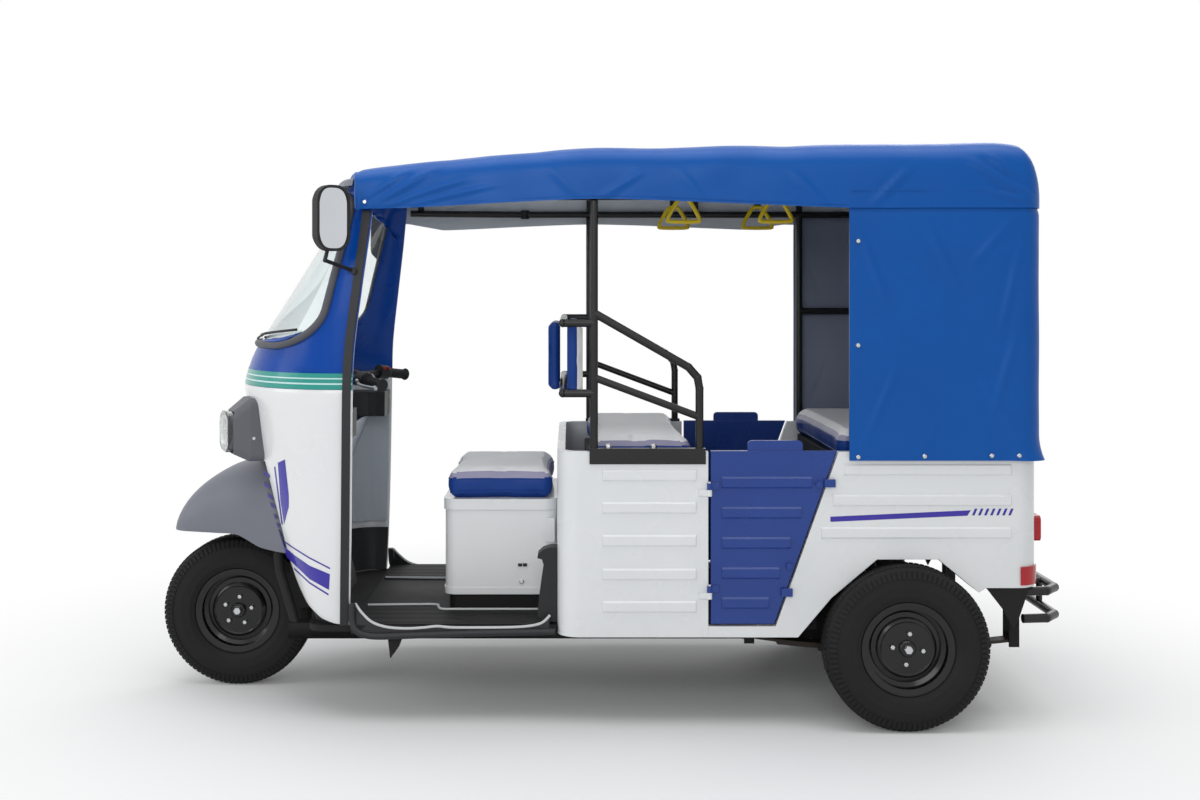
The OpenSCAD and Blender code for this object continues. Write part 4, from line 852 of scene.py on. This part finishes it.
def stuffed(name, low, high, flat_side, pick, cap=0.022, shrink=0.006, voxel=0.0065, corner=0.034):
    """Blow up a block from low to high (mm); flat_side is the axis and end that rests on its support."""
    lo, hi = Vector(low) * MM, Vector(high) * MM
    axis, end = flat_side
    rest = (lo if end < 0 else hi)[axis]
    small_lo, small_hi = lo + Vector((shrink,) * 3), hi - Vector((shrink,) * 3)
    (small_lo if end < 0 else small_hi)[axis] = rest
    work = bmesh.new()
    bmesh.ops.create_cube(work, size=1.0)
    for v in work.verts:
        v.co = [(small_lo[i] + small_hi[i]) / 2 + v.co[i] * (small_hi[i] - small_lo[i]) for i in range(3)]
    thickness = min(small_hi - small_lo)
    bmesh.ops.bevel(work, geom=list(work.edges), offset=min(corner, thickness * 0.36), segments=5, affect="EDGES",
                    profile=0.5)
    mesh = bpy.data.meshes.new(name)
    work.to_mesh(mesh)
    work.free()
    thing = bpy.data.objects.new(name, mesh)
    scene.collection.objects.link(thing)
    even = thing.modifiers.new("even", "REMESH")
    even.mode, even.voxel_size, even.use_smooth_shade = "VOXEL", voxel, True
    bake(thing, 180)
    start = [v.co.copy() for v in thing.data.vertices]
    panels = [pick(f.center / MM, f.normal) for f in thing.data.polygons]
    bag = thing.modifiers.new("bag", "CLOTH")
    bag.settings.use_pressure = True
    bag.settings.uniform_pressure_force = PUFF_FORCE
    bag.settings.effector_weights.gravity = 0.0
    bag.settings.quality = 4
    bag.point_cache.frame_start, bag.point_cache.frame_end = 1, PUFF_FRAMES
    eased_out = thing.modifiers.new("eased_out", "SMOOTH")
    eased_out.factor, eased_out.iterations = 0.5, 9
    for step in range(1, PUFF_FRAMES + 1):
        scene.frame_set(step)
    bake(thing, 180)
    scene.frame_set(1)
    for v, first in zip(thing.data.vertices, start):
        move = v.co - first
        if move.length > cap:
            move *= cap / move.length
        place = first + move
        for i in range(3):
            rise = CROWN_RISE if i == axis else 0.0
            place[i] = min(max(place[i], lo[i] - (rise if end > 0 else 0)), hi[i] + (rise if end < 0 else 0))
        if abs(first[axis] - rest) < 0.002:
            place[axis] = rest
        v.co = place
    for m in (seat_blue, seat_painted_shade, seat_pale):
        thing.data.materials.append(m)
    thing.data.polygons.foreach_set("material_index", panels)
    smooth(thing.data, 180)
    return thing


# Pale faces whose normal points up less than this get the lilac painted shade.
BLUE_SHARE, PAINTED_SHADE_SLOPE = 0.68, 0.74


def banded(low, high):
    """Blue sides and a pale top, whose sloping faces get a darker lilac grey as painted shade."""
    def pick(place, normal):
        h = (place.z - low[2]) / (high[2] - low[2])
        return SEAT_BLUE if h < BLUE_SHARE else SEAT_PAINTED_SHADE if normal.z < PAINTED_SHADE_SLOPE else SEAT_PALE
    return pick


def seam_round(name, cushion, low, high, level):
    """A piped seam that follows a cushion's side at one level."""
    (x0, y0, z0), (x1, y1, z1) = low, high
    z, r = z0 + (z1 - z0) * level, 34
    corners = [(x1 - r, y1 - r, 0), (x0 + r, y1 - r, 90), (x0 + r, y0 + r, 180), (x1 - r, y0 + r, 270)]
    line = []
    for cx, cy, turn in corners:
        bends = [math.radians(turn + t) for t in spread(0, 90, 8)]
        line += [Vector((cx + r * math.cos(b), cy + r * math.sin(b), z)) * MM for b in bends]
    filled = []
    for a, b in zip(line, line[1:] + line[:1]):
        n = max(1, int((b - a).length / 0.012))
        filled += [a.lerp(b, i / n) for i in range(n)]
    on_skin = [cushion.closest_point_on_mesh(p)[1] for p in filled]
    return bead(name, [on_skin], 0.0022, seat_blue, closed=True, sides=8)


SEATS = {
    "driver_cushion": ((-494, -254, 668.3), (-120, 254, 766)),
    "front_bench_cushion": ((-31, -424, 795.3), (318, 424, 889)),
    "rear_bench_cushion": ((752, -424, 812.3), (1240, 424, 906)),
}
for node, (low, high) in SEATS.items():
    seat = stuffed(node + "_foam", low, high, (2, -1), banded(low, high))
    settle(seat, "chassis", [node])
    for level in (0.04, BLUE_SHARE):
        settle(seam_round("%s_seam_%d" % (node, 100 * level), seat, low, high, level), "chassis")
print("cushions:", len(SEATS))

# %% [markdown]
# The backrests are made the same way, lying against their frames. The driver's is blue all over,
# and the two for the benches have a pale face.

# %% Backrests
BACKS = {
    "driver_back_pad": ("backrest_pads", (-146.5, -190, 1006), (-112.8, 190, 1258), (0, 1), lambda p, n: SEAT_BLUE),
    "passenger_back_pad": ("backrest_pads", (-87.2, -400, 1006), (-41.5, 400, 1258), (0, -1),
                           lambda p, n: SEAT_PALE if p.x > -56 else SEAT_BLUE),
    "rear_back_pad": ("rear_backrest", (1246, -424, 812.3), (1328, 424, 1270), (0, 1),
                      lambda p, n: SEAT_PALE if p.x < 1268 else SEAT_BLUE),
}
for name, (node, low, high, flat_side, pick) in BACKS.items():
    pad = stuffed(name, low, high, flat_side, pick, cap=0.016, shrink=0.004, corner=0.02)
    settle(pad, "chassis", [node])
print("backrests:", len(BACKS))

# %% [markdown]
# The tyres are plain rings in the solid model. Their tread is a pattern round the wheel, so a third
# node tree sets one block down many times on a circle: lugs on both shoulders and two rows of blocks
# on the crown. Count, place, size and tilt of the block are its named inputs.

# %% Tyre tread
def ring_tree():
    tree, given = new_tree("blocks_round_wheel", "Geometry", (
        ("Count", "Int"), ("Radius", "Float"), ("Offset", "Float"), ("Tilt", "Float"), ("Phase", "Float"),
        ("Size", "Vector"), ("Centre", "Vector")))
    block = add(tree, "GeometryNodeMeshCube", {"Size": given["Size"]})
    lean = add(tree, "ShaderNodeCombineXYZ", {"Y": given["Tilt"]})
    leant = add(tree, "GeometryNodeTransform", {"Geometry": block.outputs["Mesh"], "Rotation": lean.outputs["Vector"]})
    ring = add(tree, "GeometryNodeMeshCircle", {"Vertices": given["Count"], "Radius": given["Radius"]})
    step = add(tree, "ShaderNodeMath", {0: 2 * math.pi, 1: given["Count"]}, operation="DIVIDE")
    turn = add(tree, "ShaderNodeMath", {0: add(tree, "GeometryNodeInputIndex").outputs["Index"],
                                        1: step.outputs["Value"]}, operation="MULTIPLY")
    spin = add(tree, "ShaderNodeCombineXYZ", {"Z": turn.outputs["Value"]})
    stood = add(tree, "GeometryNodeInstanceOnPoints", {"Points": ring.outputs["Mesh"],
                                                       "Instance": leant.outputs["Geometry"],
                                                       "Rotation": spin.outputs["Vector"]})
    side = add(tree, "ShaderNodeCombineXYZ", {"Z": given["Offset"]})
    phase = add(tree, "ShaderNodeCombineXYZ", {"Z": given["Phase"]})
    moved = add(tree, "GeometryNodeTransform", {"Geometry": stood.outputs["Instances"],
                                                "Translation": side.outputs["Vector"],
                                                "Rotation": phase.outputs["Vector"]})
    placed = add(tree, "GeometryNodeTransform", {"Geometry": moved.outputs["Geometry"], "Translation": given["Centre"],
                                                 "Rotation": (math.pi / 2, 0, 0)})
    return end_tree(tree, given, placed.outputs["Geometry"], "Blocks")


RING = ring_tree()
WHEELS = {"front": (-1.216, 0.0, 0.253), "left": (0.954, -0.5, 0.253), "right": (0.954, 0.5, 0.253)}


def tread_row(name, wheel, count, radius, offset, tilt, size, phase=0.0):
    mesh = bpy.data.meshes.new(name)
    thing = bpy.data.objects.new(name, mesh)
    scene.collection.objects.link(thing)
    run_tree(thing, RING, {"Count": count, "Radius": radius, "Offset": offset, "Tilt": tilt, "Phase": phase,
                           "Size": size, "Centre": WHEELS[wheel], "Finish": tyre_rubber})
    return settle(thing, wheel + "_wheel")


LUGS = 92
SHOULDER_LUG, CROWN_LUG = (0.025, 0.0095, 0.0056), (0.005, 0.0132, 0.02)
for wheel in WHEELS:
    for way in (-1, 1):
        tread_row("%s_shoulder_%d" % (wheel, way > 0), wheel, LUGS, 0.2305, way * 0.0512, way * 0.31, SHOULDER_LUG)
        tread_row("%s_crown_%d" % (wheel, way > 0), wheel, LUGS, 0.2503, way * 0.022, way * 0.06, CROWN_LUG,
                  math.pi / LUGS)
print("tread rows:", 4 * len(WHEELS))

# %% [markdown]
# Bright nuts hold the black wheel discs: four on each rear wheel and five in front, with a larger
# nut in the middle. They are heads on the disc's outer face, and they turn with their wheel.

# %% Wheel nuts
DISC_FACE, NUT_RING, FIRST_NUT = 0.026, 0.047, 0.12
for wheel, (x, y, z) in WHEELS.items():
    out = 1 if wheel == "right" else -1
    count = 5 if wheel == "front" else 4
    face_y = y + out * DISC_FACE
    nuts = []
    for i in range(count):
        turn = 2 * math.pi * i / count + FIRST_NUT
        spot = (x + NUT_RING * math.sin(turn), face_y + out * 0.004, z + NUT_RING * math.cos(turn))
        nuts.append((spot, (0, out, 0)))
    settle(heads(wheel + "_nuts", nuts, 0.0085, 0.009, zinc_plate, 6, 0.8), wheel + "_wheel")
    middle = [((x, face_y + out * 0.014, z), (0, out, 0))]
    settle(heads(wheel + "_axle_nut", middle, 0.016, 0.012, zinc_plate, 6, 0.75), wheel + "_wheel")
print("nuts placed on", len(WHEELS), "wheels")

# %% [markdown]
# Stripes are thin film laid on the painted skin. On the cowl each one is a narrow sheet between an
# upper and a lower line, lifted a little off the surface; the far side is its mirror image.
# The lines were read off the photograph, so each point is followed back from the lens to the cowl.

# %% Stripes on the cowl
teal_film = surface("teal_film", "#1C9A8E", "#178F84", 0.3, grain_mm=6, relief=0.01, coat=0.4)
pale_film = surface("pale_film", "#C8EDEA", "#BCE6E3", 0.3, grain_mm=6, relief=0.01, coat=0.4)
indigo_film = surface("indigo_film", "#3426A6", "#2C1F98", 0.3, grain_mm=6, relief=0.01, coat=0.4)
FILM_LIFT = 0.7


def band(name, low, high, material):
    rows = [[cowl(a, z, -FILM_LIFT) for a in COWL_ANGLES] for z in spread(low, high, 2)]
    return settle(sheet_grid(name, rows, material, CABIN), "chassis")


for name, low, high, film in (("belt_low", 1041, 1055, teal_film), ("belt_low_line", 1055.5, 1061, pale_film),
                              ("belt_mid", 1061.5, 1072, teal_film), ("belt_high_line", 1072.5, 1077, pale_film),
                              ("belt_high", 1077.5, 1091, teal_film)):
    band(name, low, high, film)


def on_cowl(px, py):
    """Angle and height on the near side of the cowl at a point of the photograph."""
    wide = 0.45
    for _ in range(12):
        scale = (-EYE[1] - wide) / FOCAL_PX
        x, z = EYE[0] + (px - VANISHING[0]) * scale, (EYE[2] - (py - VANISHING[1]) * scale) / MM
        low, high = -float(REAR_EDGE), 0.0
        for _ in range(30):
            mid = (low + high) / 2
            low, high = (low, mid) if cowl(mid, z).x < x else (mid, high)
        wide = -cowl(high, z).y
    return high, z


def film_strip(name, upper, lower, material):
    """A strip of film between two lines of photograph points, on both sides of the cowl."""
    def along(line, t):
        spot = t * (len(line) - 1)
        i = min(int(spot), len(line) - 2)
        return [line[i][k] + (line[i + 1][k] - line[i][k]) * (spot - i) for k in (0, 1)]
    for side in (1, -1):
        rows = []
        for f in spread(0, 1, 3):
            row = []
            for t in spread(0, 1, 24):
                u, v = along(upper, t), along(lower, t)
                a, z = on_cowl(u[0] + (v[0] - u[0]) * f, u[1] + (v[1] - u[1]) * f)
                row.append(cowl(side * a, z, -FILM_LIFT))
            rows.append(row)
        settle(sheet_grid("%s_%s" % (name, "left" if side > 0 else "right"), rows, material, CABIN), "chassis")


film_strip("nose_bar", [(277.9, 462.7), (280.5, 500), (284.2, 524.5)], [(285, 459.4), (288.8, 495), (288.8, 507.2)],
           indigo_film)
film_strip("nose_line", [(274.1, 467), (281.5, 524)], [(275.4, 466.5), (283, 525)], indigo_film)
for i, (px, py) in enumerate(((267, 473), (267, 484), (270, 495), (272, 504), (273, 514), (276, 523))):
    film_strip("nose_hatch_%d" % i, [(px - 4, py - 2.5), (px + 2.5, py + 1)], [(px - 3, py + 1.5), (px + 3.5, py + 5)],
               indigo_film)
film_strip("nose_sweep", [(278.9, 529.2), (284.6, 546.5), (294.2, 555), (309.5, 565.6), (329.9, 574.2)],
           [(276, 532), (281.1, 544.5), (287.5, 557.9), (309.5, 579), (329, 590)], indigo_film)
film_strip("nose_sweep_above", [(284.6, 540.9), (294.2, 547.6), (309.5, 557.1), (330.1, 567.7)],
           [(284.6, 542.5), (294.2, 549.2), (309.5, 558.7), (330.1, 569.3)], indigo_film)
film_strip("nose_sweep_below", [(294.2, 567.6), (309.5, 581.9), (328.6, 593.8)],
           [(294.2, 569.4), (309.5, 583.7), (328.6, 595.6)], indigo_film)
print("film strips on the cowl done")

# %% [markdown]
# The tub carries a stripe between its upper pressings that ends in seven slashes.

# %% Stripes on the tub
def flat_film(name, corners, side, material, y=0.5004):
    points = [(x * MM, side * y, z * MM) for x, z in corners]
    return from_data(name, points, [tuple(range(len(points)))[::1 if side < 0 else -1]], material)


for side, word in SIDES:
    stripe = [[(724, 636), (1146, 655), (1157, 672), (724, 652)]]
    stripe += [[(1160 + 18.6 * i, 656), (1168 + 18.6 * i, 656), (1177 + 18.6 * i, 677), (1169 + 18.6 * i, 677)]
               for i in range(7)]
    for i, corners in enumerate(stripe):
        settle(flat_film("tub_film_%s_%d" % (word, i), corners, side, indigo_film), "chassis")
print("tub films:", 2 * len(stripe))

# %% [markdown]
# Each headlamp has a bulged, fluted lens over a bright square bowl with a bulb in the middle. The
# shapes are drawn in the pod's own directions and then turned outwards with it; a round-cornered
# outline shrinks ring by ring towards the middle, and a last fan of triangles closes it. The mirror
# glasses are the same kind of dish, almost flat.

# %% Headlamps and mirrors
mirror_silver = surface("mirror_silver", "#C9CDD1", "#C1C5CA", 0.06, uneven=0.02, grain_mm=9, relief=0.004,
                        metallic=1.0)
bowl_silver = surface("bowl_silver", "#D6D9DC", "#C9CCD0", 0.16, grain_mm=5, relief=0.03, metallic=1.0)
bulb_white = surface("bulb_white", "#F2EFE6", "#E8E4DA", 0.25, grain_mm=3, relief=0.02)


def rounded(t, half_w, half_h, power=5.0):
    """Point of a round-cornered rectangle; t goes once round."""
    c, s = math.cos(2 * math.pi * t), math.sin(2 * math.pi * t)
    reach = (abs(c) ** power + abs(s) ** power) ** (-1 / power)
    return half_w * reach * c, half_h * reach * s


def dish(name, point, material, heart, levels, count=96):
    """A closed-centre skin: point(k, t) gives its place at ring k, from 0 in the middle to 1 at the rim."""
    points = [point(0.0, 0.0)] + [point(k, i / count) for k in levels for i in range(count)]
    faces = [(0, 1 + i, 1 + (i + 1) % count) for i in range(count)]
    for r in range(len(levels) - 1):
        a, b = 1 + r * count, 1 + (r + 1) * count
        faces += [(a + i, b + i, b + (i + 1) % count, a + (i + 1) % count) for i in range(count)]
    return face_out(from_data(name, points, faces, material), heart)


POD_TURN, MIRROR_TURN = math.radians(24), math.radians(48)
LENS_HALF, BOWL_HALF, MIRROR_HALF = (0.0585, 0.0655), (0.055, 0.062), (0.0495, 0.0915)


def pod_frame(side):
    """A pod's middle, the way it looks and the way across it."""
    out = Vector((-math.cos(POD_TURN), side * math.sin(POD_TURN), 0))
    across = Vector((-side * out.y, side * out.x, 0)).normalized()
    return Vector((-1.108, side * 0.236, 0.892)), out, across


for side, word in SIDES:
    home, out, across = pod_frame(side)

    def lens(k, t):
        u, v = rounded(t, *LENS_HALF)
        u, v = u * min(k, 1.0), v * min(k, 1.0)
        flute = 0.0007 * math.cos(u / 0.0085 * 2 * math.pi) * (k < 0.9)
        deep = 0.112 - 0.010 * min(k, 1.0) ** 4 + flute if k <= 1.0 else 0.102 - (k - 1.0) * 0.26
        return home + out * deep + across * u + Vector((0, 0, v))

    def bowl(k, t):
        u, v = rounded(t, *BOWL_HALF)
        return home + out * (0.0765 + 0.023 * k ** 2.2) + across * u * k + Vector((0, 0, v * k))

    cover = dish("headlamp_lens_" + word, lens, lens_glass, home, spread(0.04, 1.0, 24) + [1.02, 1.06, 1.095])
    thicken(cover, 0.003)
    settle(cover, "chassis", ["headlamp_lenses"])
    settle(dish("headlamp_bowl_" + word, bowl, bowl_silver, home, spread(0.05, 1.0, 14)), "chassis")
    bulb = [(home + out * 0.084, out)]
    settle(heads("headlamp_bulb_" + word, bulb, 0.011, 0.014, bulb_white, 20, 0.6), "chassis")
    face_way = Vector((math.cos(MIRROR_TURN), side * math.sin(MIRROR_TURN), 0))
    flat_way = Vector((-face_way.y, face_way.x, 0))
    middle = Vector((-0.806, side * 0.56, 1.568)) + face_way * 0.0186

    def silver(k, t):
        u, v = rounded(t, *MIRROR_HALF, 3.2)
        return middle + face_way * 0.0012 * (1 - k * k) + flat_way * u * k + Vector((0, 0, v * k))

    glass = dish("mirror_glass_" + word, silver, mirror_silver, middle - face_way * 0.1, spread(0.06, 1.0, 10))
    settle(glass, "chassis")
print("lamps and mirrors done")

# %% [markdown]
# The driver's feet rest on a ribbed rubber mat whose edge is bound with pale piping. The mat lies on
# the floor on both sides of the seat box, and a black rubber lip follows the floor's edge from the
# foot of the cowl back to the tub. A band of the same rubber closes the step between the two.

# %% Floor mat, lip and brackets
mat_rubber, tree, shader, place = new_material("mat_rubber")
RIB_MM = 9
ribs = add(tree, "ShaderNodeTexWave", {"Vector": place, "Scale": 1000 / RIB_MM / 20, "Distortion": 0.2},
           bands_direction="Y")
wear = add(tree, "ShaderNodeTexNoise", {"Vector": place, "Scale": 12.0, "Detail": 4.0})
tone = add(tree, "ShaderNodeMix", {"Factor": wear.outputs["Fac"], "A": linear("#1A1A1A"), "B": linear("#272625")},
           data_type="RGBA")
tree.links.new(tone.outputs["Result"], shader.inputs["Base Color"])
shader.inputs["Roughness"].default_value = 0.62
shader.inputs["Specular IOR Level"].default_value = 0.15
bump = add(tree, "ShaderNodeBump", {"Height": ribs.outputs["Fac"], "Strength": 0.5, "Distance": 0.002})
tree.links.new(bump.outputs["Normal"], shader.inputs["Normal"])
piping_grey = surface("piping_grey", "#CFD2D3", "#C4C7C9", 0.5, grain_mm=1.5, relief=0.05)


def flat_plate(name, outline, low, wall, material):
    """An upright or lying plate, in metres: an outline moved to low and given a wall in one direction."""
    count = len(outline)
    points = [Vector(p) + Vector(low) for p in outline] + [Vector(p) + Vector(low) + Vector(wall) for p in outline]
    faces = [tuple(range(count))[::-1], tuple(range(count, 2 * count))]
    faces += [(i, (i + 1) % count, count + (i + 1) % count, count + i) for i in range(count)]
    thing = from_data(name, points, faces, material)
    work = bmesh.new()
    work.from_mesh(thing.data)
    bmesh.ops.recalc_face_normals(work, faces=work.faces)
    work.to_mesh(thing.data)
    work.free()
    return thing


MAT = [(-748, 300), (-742, 440), (-700, 458), (-160, 458), (-150, 440), (-150, 266), (-500, 266), (-512, 205),
       (-748, 205)]
OUTER_PIPING = [(-748, 446, 372), (-726, 456, 346), (-694, 463, 319), (-650, 465, 304), (-590, 465, 299),
                (-530, 465, 302), (-490, 465, 306), (-440, 465, 302), (-300, 465, 302), (-220, 465, 305),
                (-168, 464, 315), (-140, 456, 338)]
INNER_PIPING = [(-744, 212), (-600, 206), (-520, 206), (-508, 240), (-494, 270), (-440, 272), (-250, 272), (-150, 272)]
LIP = [(-757, 452, 372), (-756, 456, 322), (-746, 461, 296), (-722, 464, 281), (-680, 465, 275), (-600, 465, 277),
       (-400, 465, 284), (-200, 465, 288), (-124, 464, 290)]
FIN = [(-0.65, 0, 0.28), (-0.595, 0, 0.28), (-0.612, 0, 0.236), (-0.64, 0, 0.198)]
BRACKET = [(-118.4, 312), (-118.4, 545), (-140, 546), (-163, 538), (-178, 524), (-180, 512), (-166, 508), (-160, 490),
           (-168, 440), (-176, 380), (-180, 340), (-172, 312)]
for side, word in SIDES:
    mat = flat_plate("floor_mat_" + word, [(x * MM, side * y * MM, 0) for x, y in MAT], (0, 0, 0.3082), (0, 0, 0.003),
                     mat_rubber)
    settle(mat, "chassis")
    binding = eased([(x * MM, side * y * MM, z * MM) for x, y, z in OUTER_PIPING], 6)
    inner = eased([(x * MM, side * y * MM, 0.313) for x, y in INNER_PIPING], 6)
    settle(bead("mat_piping_" + word, [binding, inner], 0.0042, piping_grey, sides=10), "chassis")
    lip = eased([(x * MM, side * y * MM, z * MM) for x, y, z in LIP], 6)
    settle(bead("floor_lip_" + word, [lip], 0.011, edge_rubber, sides=12), "chassis")
    upper, lower = ([[(p.x, p[i]) for p in line] for i in (1, 2)] for line in (binding, lip))
    band_rows = [[Vector((x, *(straight(a, x) * (1 - k) + straight(b, x) * k for a, b in zip(upper, lower))))
                  for x in spread(-0.746, -0.142, 60)] for k in spread(0, 1, 4)]
    edge_band = sheet_grid("floor_edge_" + word, band_rows, edge_rubber, (-0.45, 0, 0.6))
    settle(thicken(edge_band, 0.003), "chassis")
    fin = flat_plate("floor_fin_" + word, FIN, (0, side * 0.44, 0), (0, -side * 0.004, 0), underbody_black)
    settle(fin, "chassis")
    plate = flat_plate("tub_bracket_" + word, [(x * MM, 0, z * MM) for x, z in BRACKET], (0, side * 0.38, 0),
                       (0, side * 0.06, 0), black_moulding)
    settle(plate, "chassis")
    kick_rows = [[cowl(side * a, z, COWL_WALL + 2.0) for a in spread(60, 99.5, 16)] for z in spread(301, 457, 8)]
    kick = sheet_grid("kick_strip_" + word, kick_rows, edge_rubber, (-1.2, 0, 0.4))
    settle(thicken(kick, 0.003), "chassis")
print("mats, piping, lips and brackets done")

# %% [markdown]
# Small hardware: snaps along the curtain, bolts through the black channel, screws in the pods, the
# seat box's latch and clip, the door's latches, and black webbing above the yellow grips.

# %% Small hardware
chrome_snap = surface("chrome_snap", "#C4C8CC", "#B4B8BC", 0.24, grain_mm=2, relief=0.03, metallic=1.0)
SNAPS = ((806, 838), (1010, 840), (1216, 842), (1300, 842), (806, 1180), (806, 1500))
BOX_SIDE, DOOR_SIDE = 0.2482, 0.5008


def upright(x0, x1, z0, z1):
    """Corners of a rectangle that stands along the vehicle."""
    return [(x0, 0, z0), (x1, 0, z0), (x1, 0, z1), (x0, 0, z1)]


for side, word in SIDES:
    way = (0, side, 0)
    snaps = [((x * MM, side * 0.5165, z * MM), way) for x, z in SNAPS]
    corner = roof_at(-716, 1624)
    snaps.append((Vector((corner.x, side * corner.y, corner.z)), way))
    settle(heads("curtain_snaps_" + word, snaps, 0.0075, 0.006, chrome_snap), "chassis")
    bolts = [((x * MM, side * 0.4805, 0.8622), UP) for x in (40, 180)]
    settle(heads("channel_bolts_" + word, bolts, 0.011, 0.012, zinc_plate, 6), "chassis")
    home, out, across = pod_frame(side)
    screw = [(home + across * side * 0.074 + out * 0.02 + Vector((0, 0, -0.02)), way)]
    settle(heads("pod_screw_" + word, screw, 0.006, 0.004, zinc_plate), "chassis")
    latch = upright(-0.158, -0.128, 0.528, 0.606)
    toggle = flat_plate("seat_latch_" + word, latch, (0, side * BOX_SIDE, 0), (0, side * 0.006, 0), white_gelcoat)
    settle(toggle, "chassis")
    screw = [((-0.236, side * 0.2486, 0.398), way)]
    settle(heads("seat_screw_" + word, screw, 0.008, 0.005, zinc_plate), "chassis")
    for i, x in enumerate((-0.241, -0.225)):
        clip = flat_plate("seat_clip_%s_%d" % (word, i), upright(x - 0.0065, x + 0.0065, 0.448, 0.457),
                          (0, side * BOX_SIDE, 0), (0, side * 0.005, 0), black_moulding)
        settle(clip, "chassis")
    for i, (x, z) in enumerate(((0.72, 0.756), (0.588, 0.42))):
        tab = flat_plate("door_tab_%s_%d" % (word, i), upright(x - 0.016, x + 0.018, z - 0.012, z + 0.012),
                         (0, side * DOOR_SIDE, 0), (0, side * 0.012, 0), blue_enamel)
        settle(tab, word + "_door")
strap_top = max(v.co.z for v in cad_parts["grab_handles"].data.vertices)
HALF_LOOP = [(0.013, 1.650), (0.024, 1.638), (0.046, 1.600), (0.051, 1.584), (0.043, 1.5765)]
LOOP_Y = 0.215
loops = []
for x in (0.296, 0.600):
    for side, _ in SIDES:
        line = HALF_LOOP + [(-u, v) for u, v in HALF_LOOP[::-1]]
        loops.append([Vector((x + u, side * LOOP_Y, v)) for u, v in line])
        strap = flat_plate("strap_%d_%d" % (1000 * x, side > 0), upright(x - 0.013, x + 0.013, 1.644, strap_top),
                           (0, side * LOOP_Y - 0.002, 0), (0, 0.004, 0), black_moulding)
        settle(strap, "chassis")
rounded_loops = [eased(line + line[:1])[:-1] for line in loops]
settle(bead("grab_loops", rounded_loops, 0.0068, yellow_grip, closed=True, sides=14), "chassis",
       ["grab_handles"])

# %% [markdown]
# The hand controls ride on the steering: ribbed grips, a pivoted lever in front of each,
# and switch buttons beside them. A wiper rests along the foot of the windscreen.

# %% Hand controls and wiper
lever_silver = surface("lever_silver", "#B9BDC1", "#A9ADB1", 0.32, grain_mm=3, relief=0.03, metallic=0.9)
button_red = surface("button_red", "#A3201D", "#8E1A18", 0.35, grain_mm=2, relief=0.03)


def ring_round(middle, axis, radius, n=28):
    side_way = axis.orthogonal().normalized()
    other = axis.cross(side_way)
    return [middle + (side_way * math.cos(2 * math.pi * i / n) + other * math.sin(2 * math.pi * i / n)) * radius
            for i in range(n)]


for side, word in SIDES:
    bend, tip = Vector((-0.758, side * 0.212, 1.056)), Vector((-0.684, side * 0.300, 1.042))
    grip_way = (tip - bend).normalized()
    nose_way = Vector((-1, 0, 0))
    ahead = nose_way - grip_way * grip_way.dot(nose_way)
    ahead = (ahead.normalized() + Vector((0, 0, -0.25))).normalized()
    reach = (tip - bend).length
    ribs = [ring_round(bend + grip_way * d, grip_way, 0.0158) for d in spread(0.034, reach - 0.004, 14)]
    settle(bead("grip_ribs_" + word, ribs, 0.0016, edge_rubber, closed=True, sides=8), "steering")
    flange = [ring_round(bend + grip_way * d, grip_way, 0.0185) for d in (0.0265, reach - 0.002)]
    settle(bead("grip_flange_" + word, flange, 0.0032, edge_rubber, closed=True, sides=10), "steering")
    lever = eased([bend + ahead * 0.024, bend + grip_way * 0.03 + ahead * 0.034,
                   bend + grip_way * 0.075 + ahead * 0.031, tip + ahead * 0.026 - grip_way * 0.004])
    settle(bead("hand_lever_" + word, [lever], 0.0052, lever_silver, sides=14), "steering")
    ends = [(bend + ahead * 0.024 + Vector((0, 0, 0.004)), UP), (lever[-1] - grip_way * 0.002, grip_way)]
    settle(heads("lever_ends_" + word, ends, 0.0085, 0.007, lever_silver, 18, 0.7), "steering")
    buttons = [(bend + grip_way * d - ahead * 0.022 + Vector((0, 0, 0.006)), -ahead) for d in (-0.008, 0.012)]
    settle(heads("switch_buttons_" + word, buttons, 0.006, 0.007, button_red if side > 0 else zinc_plate, 14, 0.8),
           "steering")

wiper = [cowl(-a, straight([(8, 1196), (62, 1226)], a), -9.0) for a in spread(8, 62, 40)]
settle(bead("wiper_blade", [wiper], 0.0042, black_moulding, sides=10), "chassis")
arm = eased([cowl(-6, 1176, -8.0), cowl(-14, 1190, -14.0), cowl(-34, 1211, -13.0)])
settle(bead("wiper_arm", [arm], 0.0036, black_moulding, sides=10), "chassis")
pivot = cowl(-6, 1170)
pivot_way = (pivot - cowl(-6, 1170, 10.0)).normalized()
settle(heads("wiper_pivot", [(pivot, pivot_way)], 0.011, 0.014, black_moulding, 18, 0.7), "chassis")
print("hand controls and wiper made")
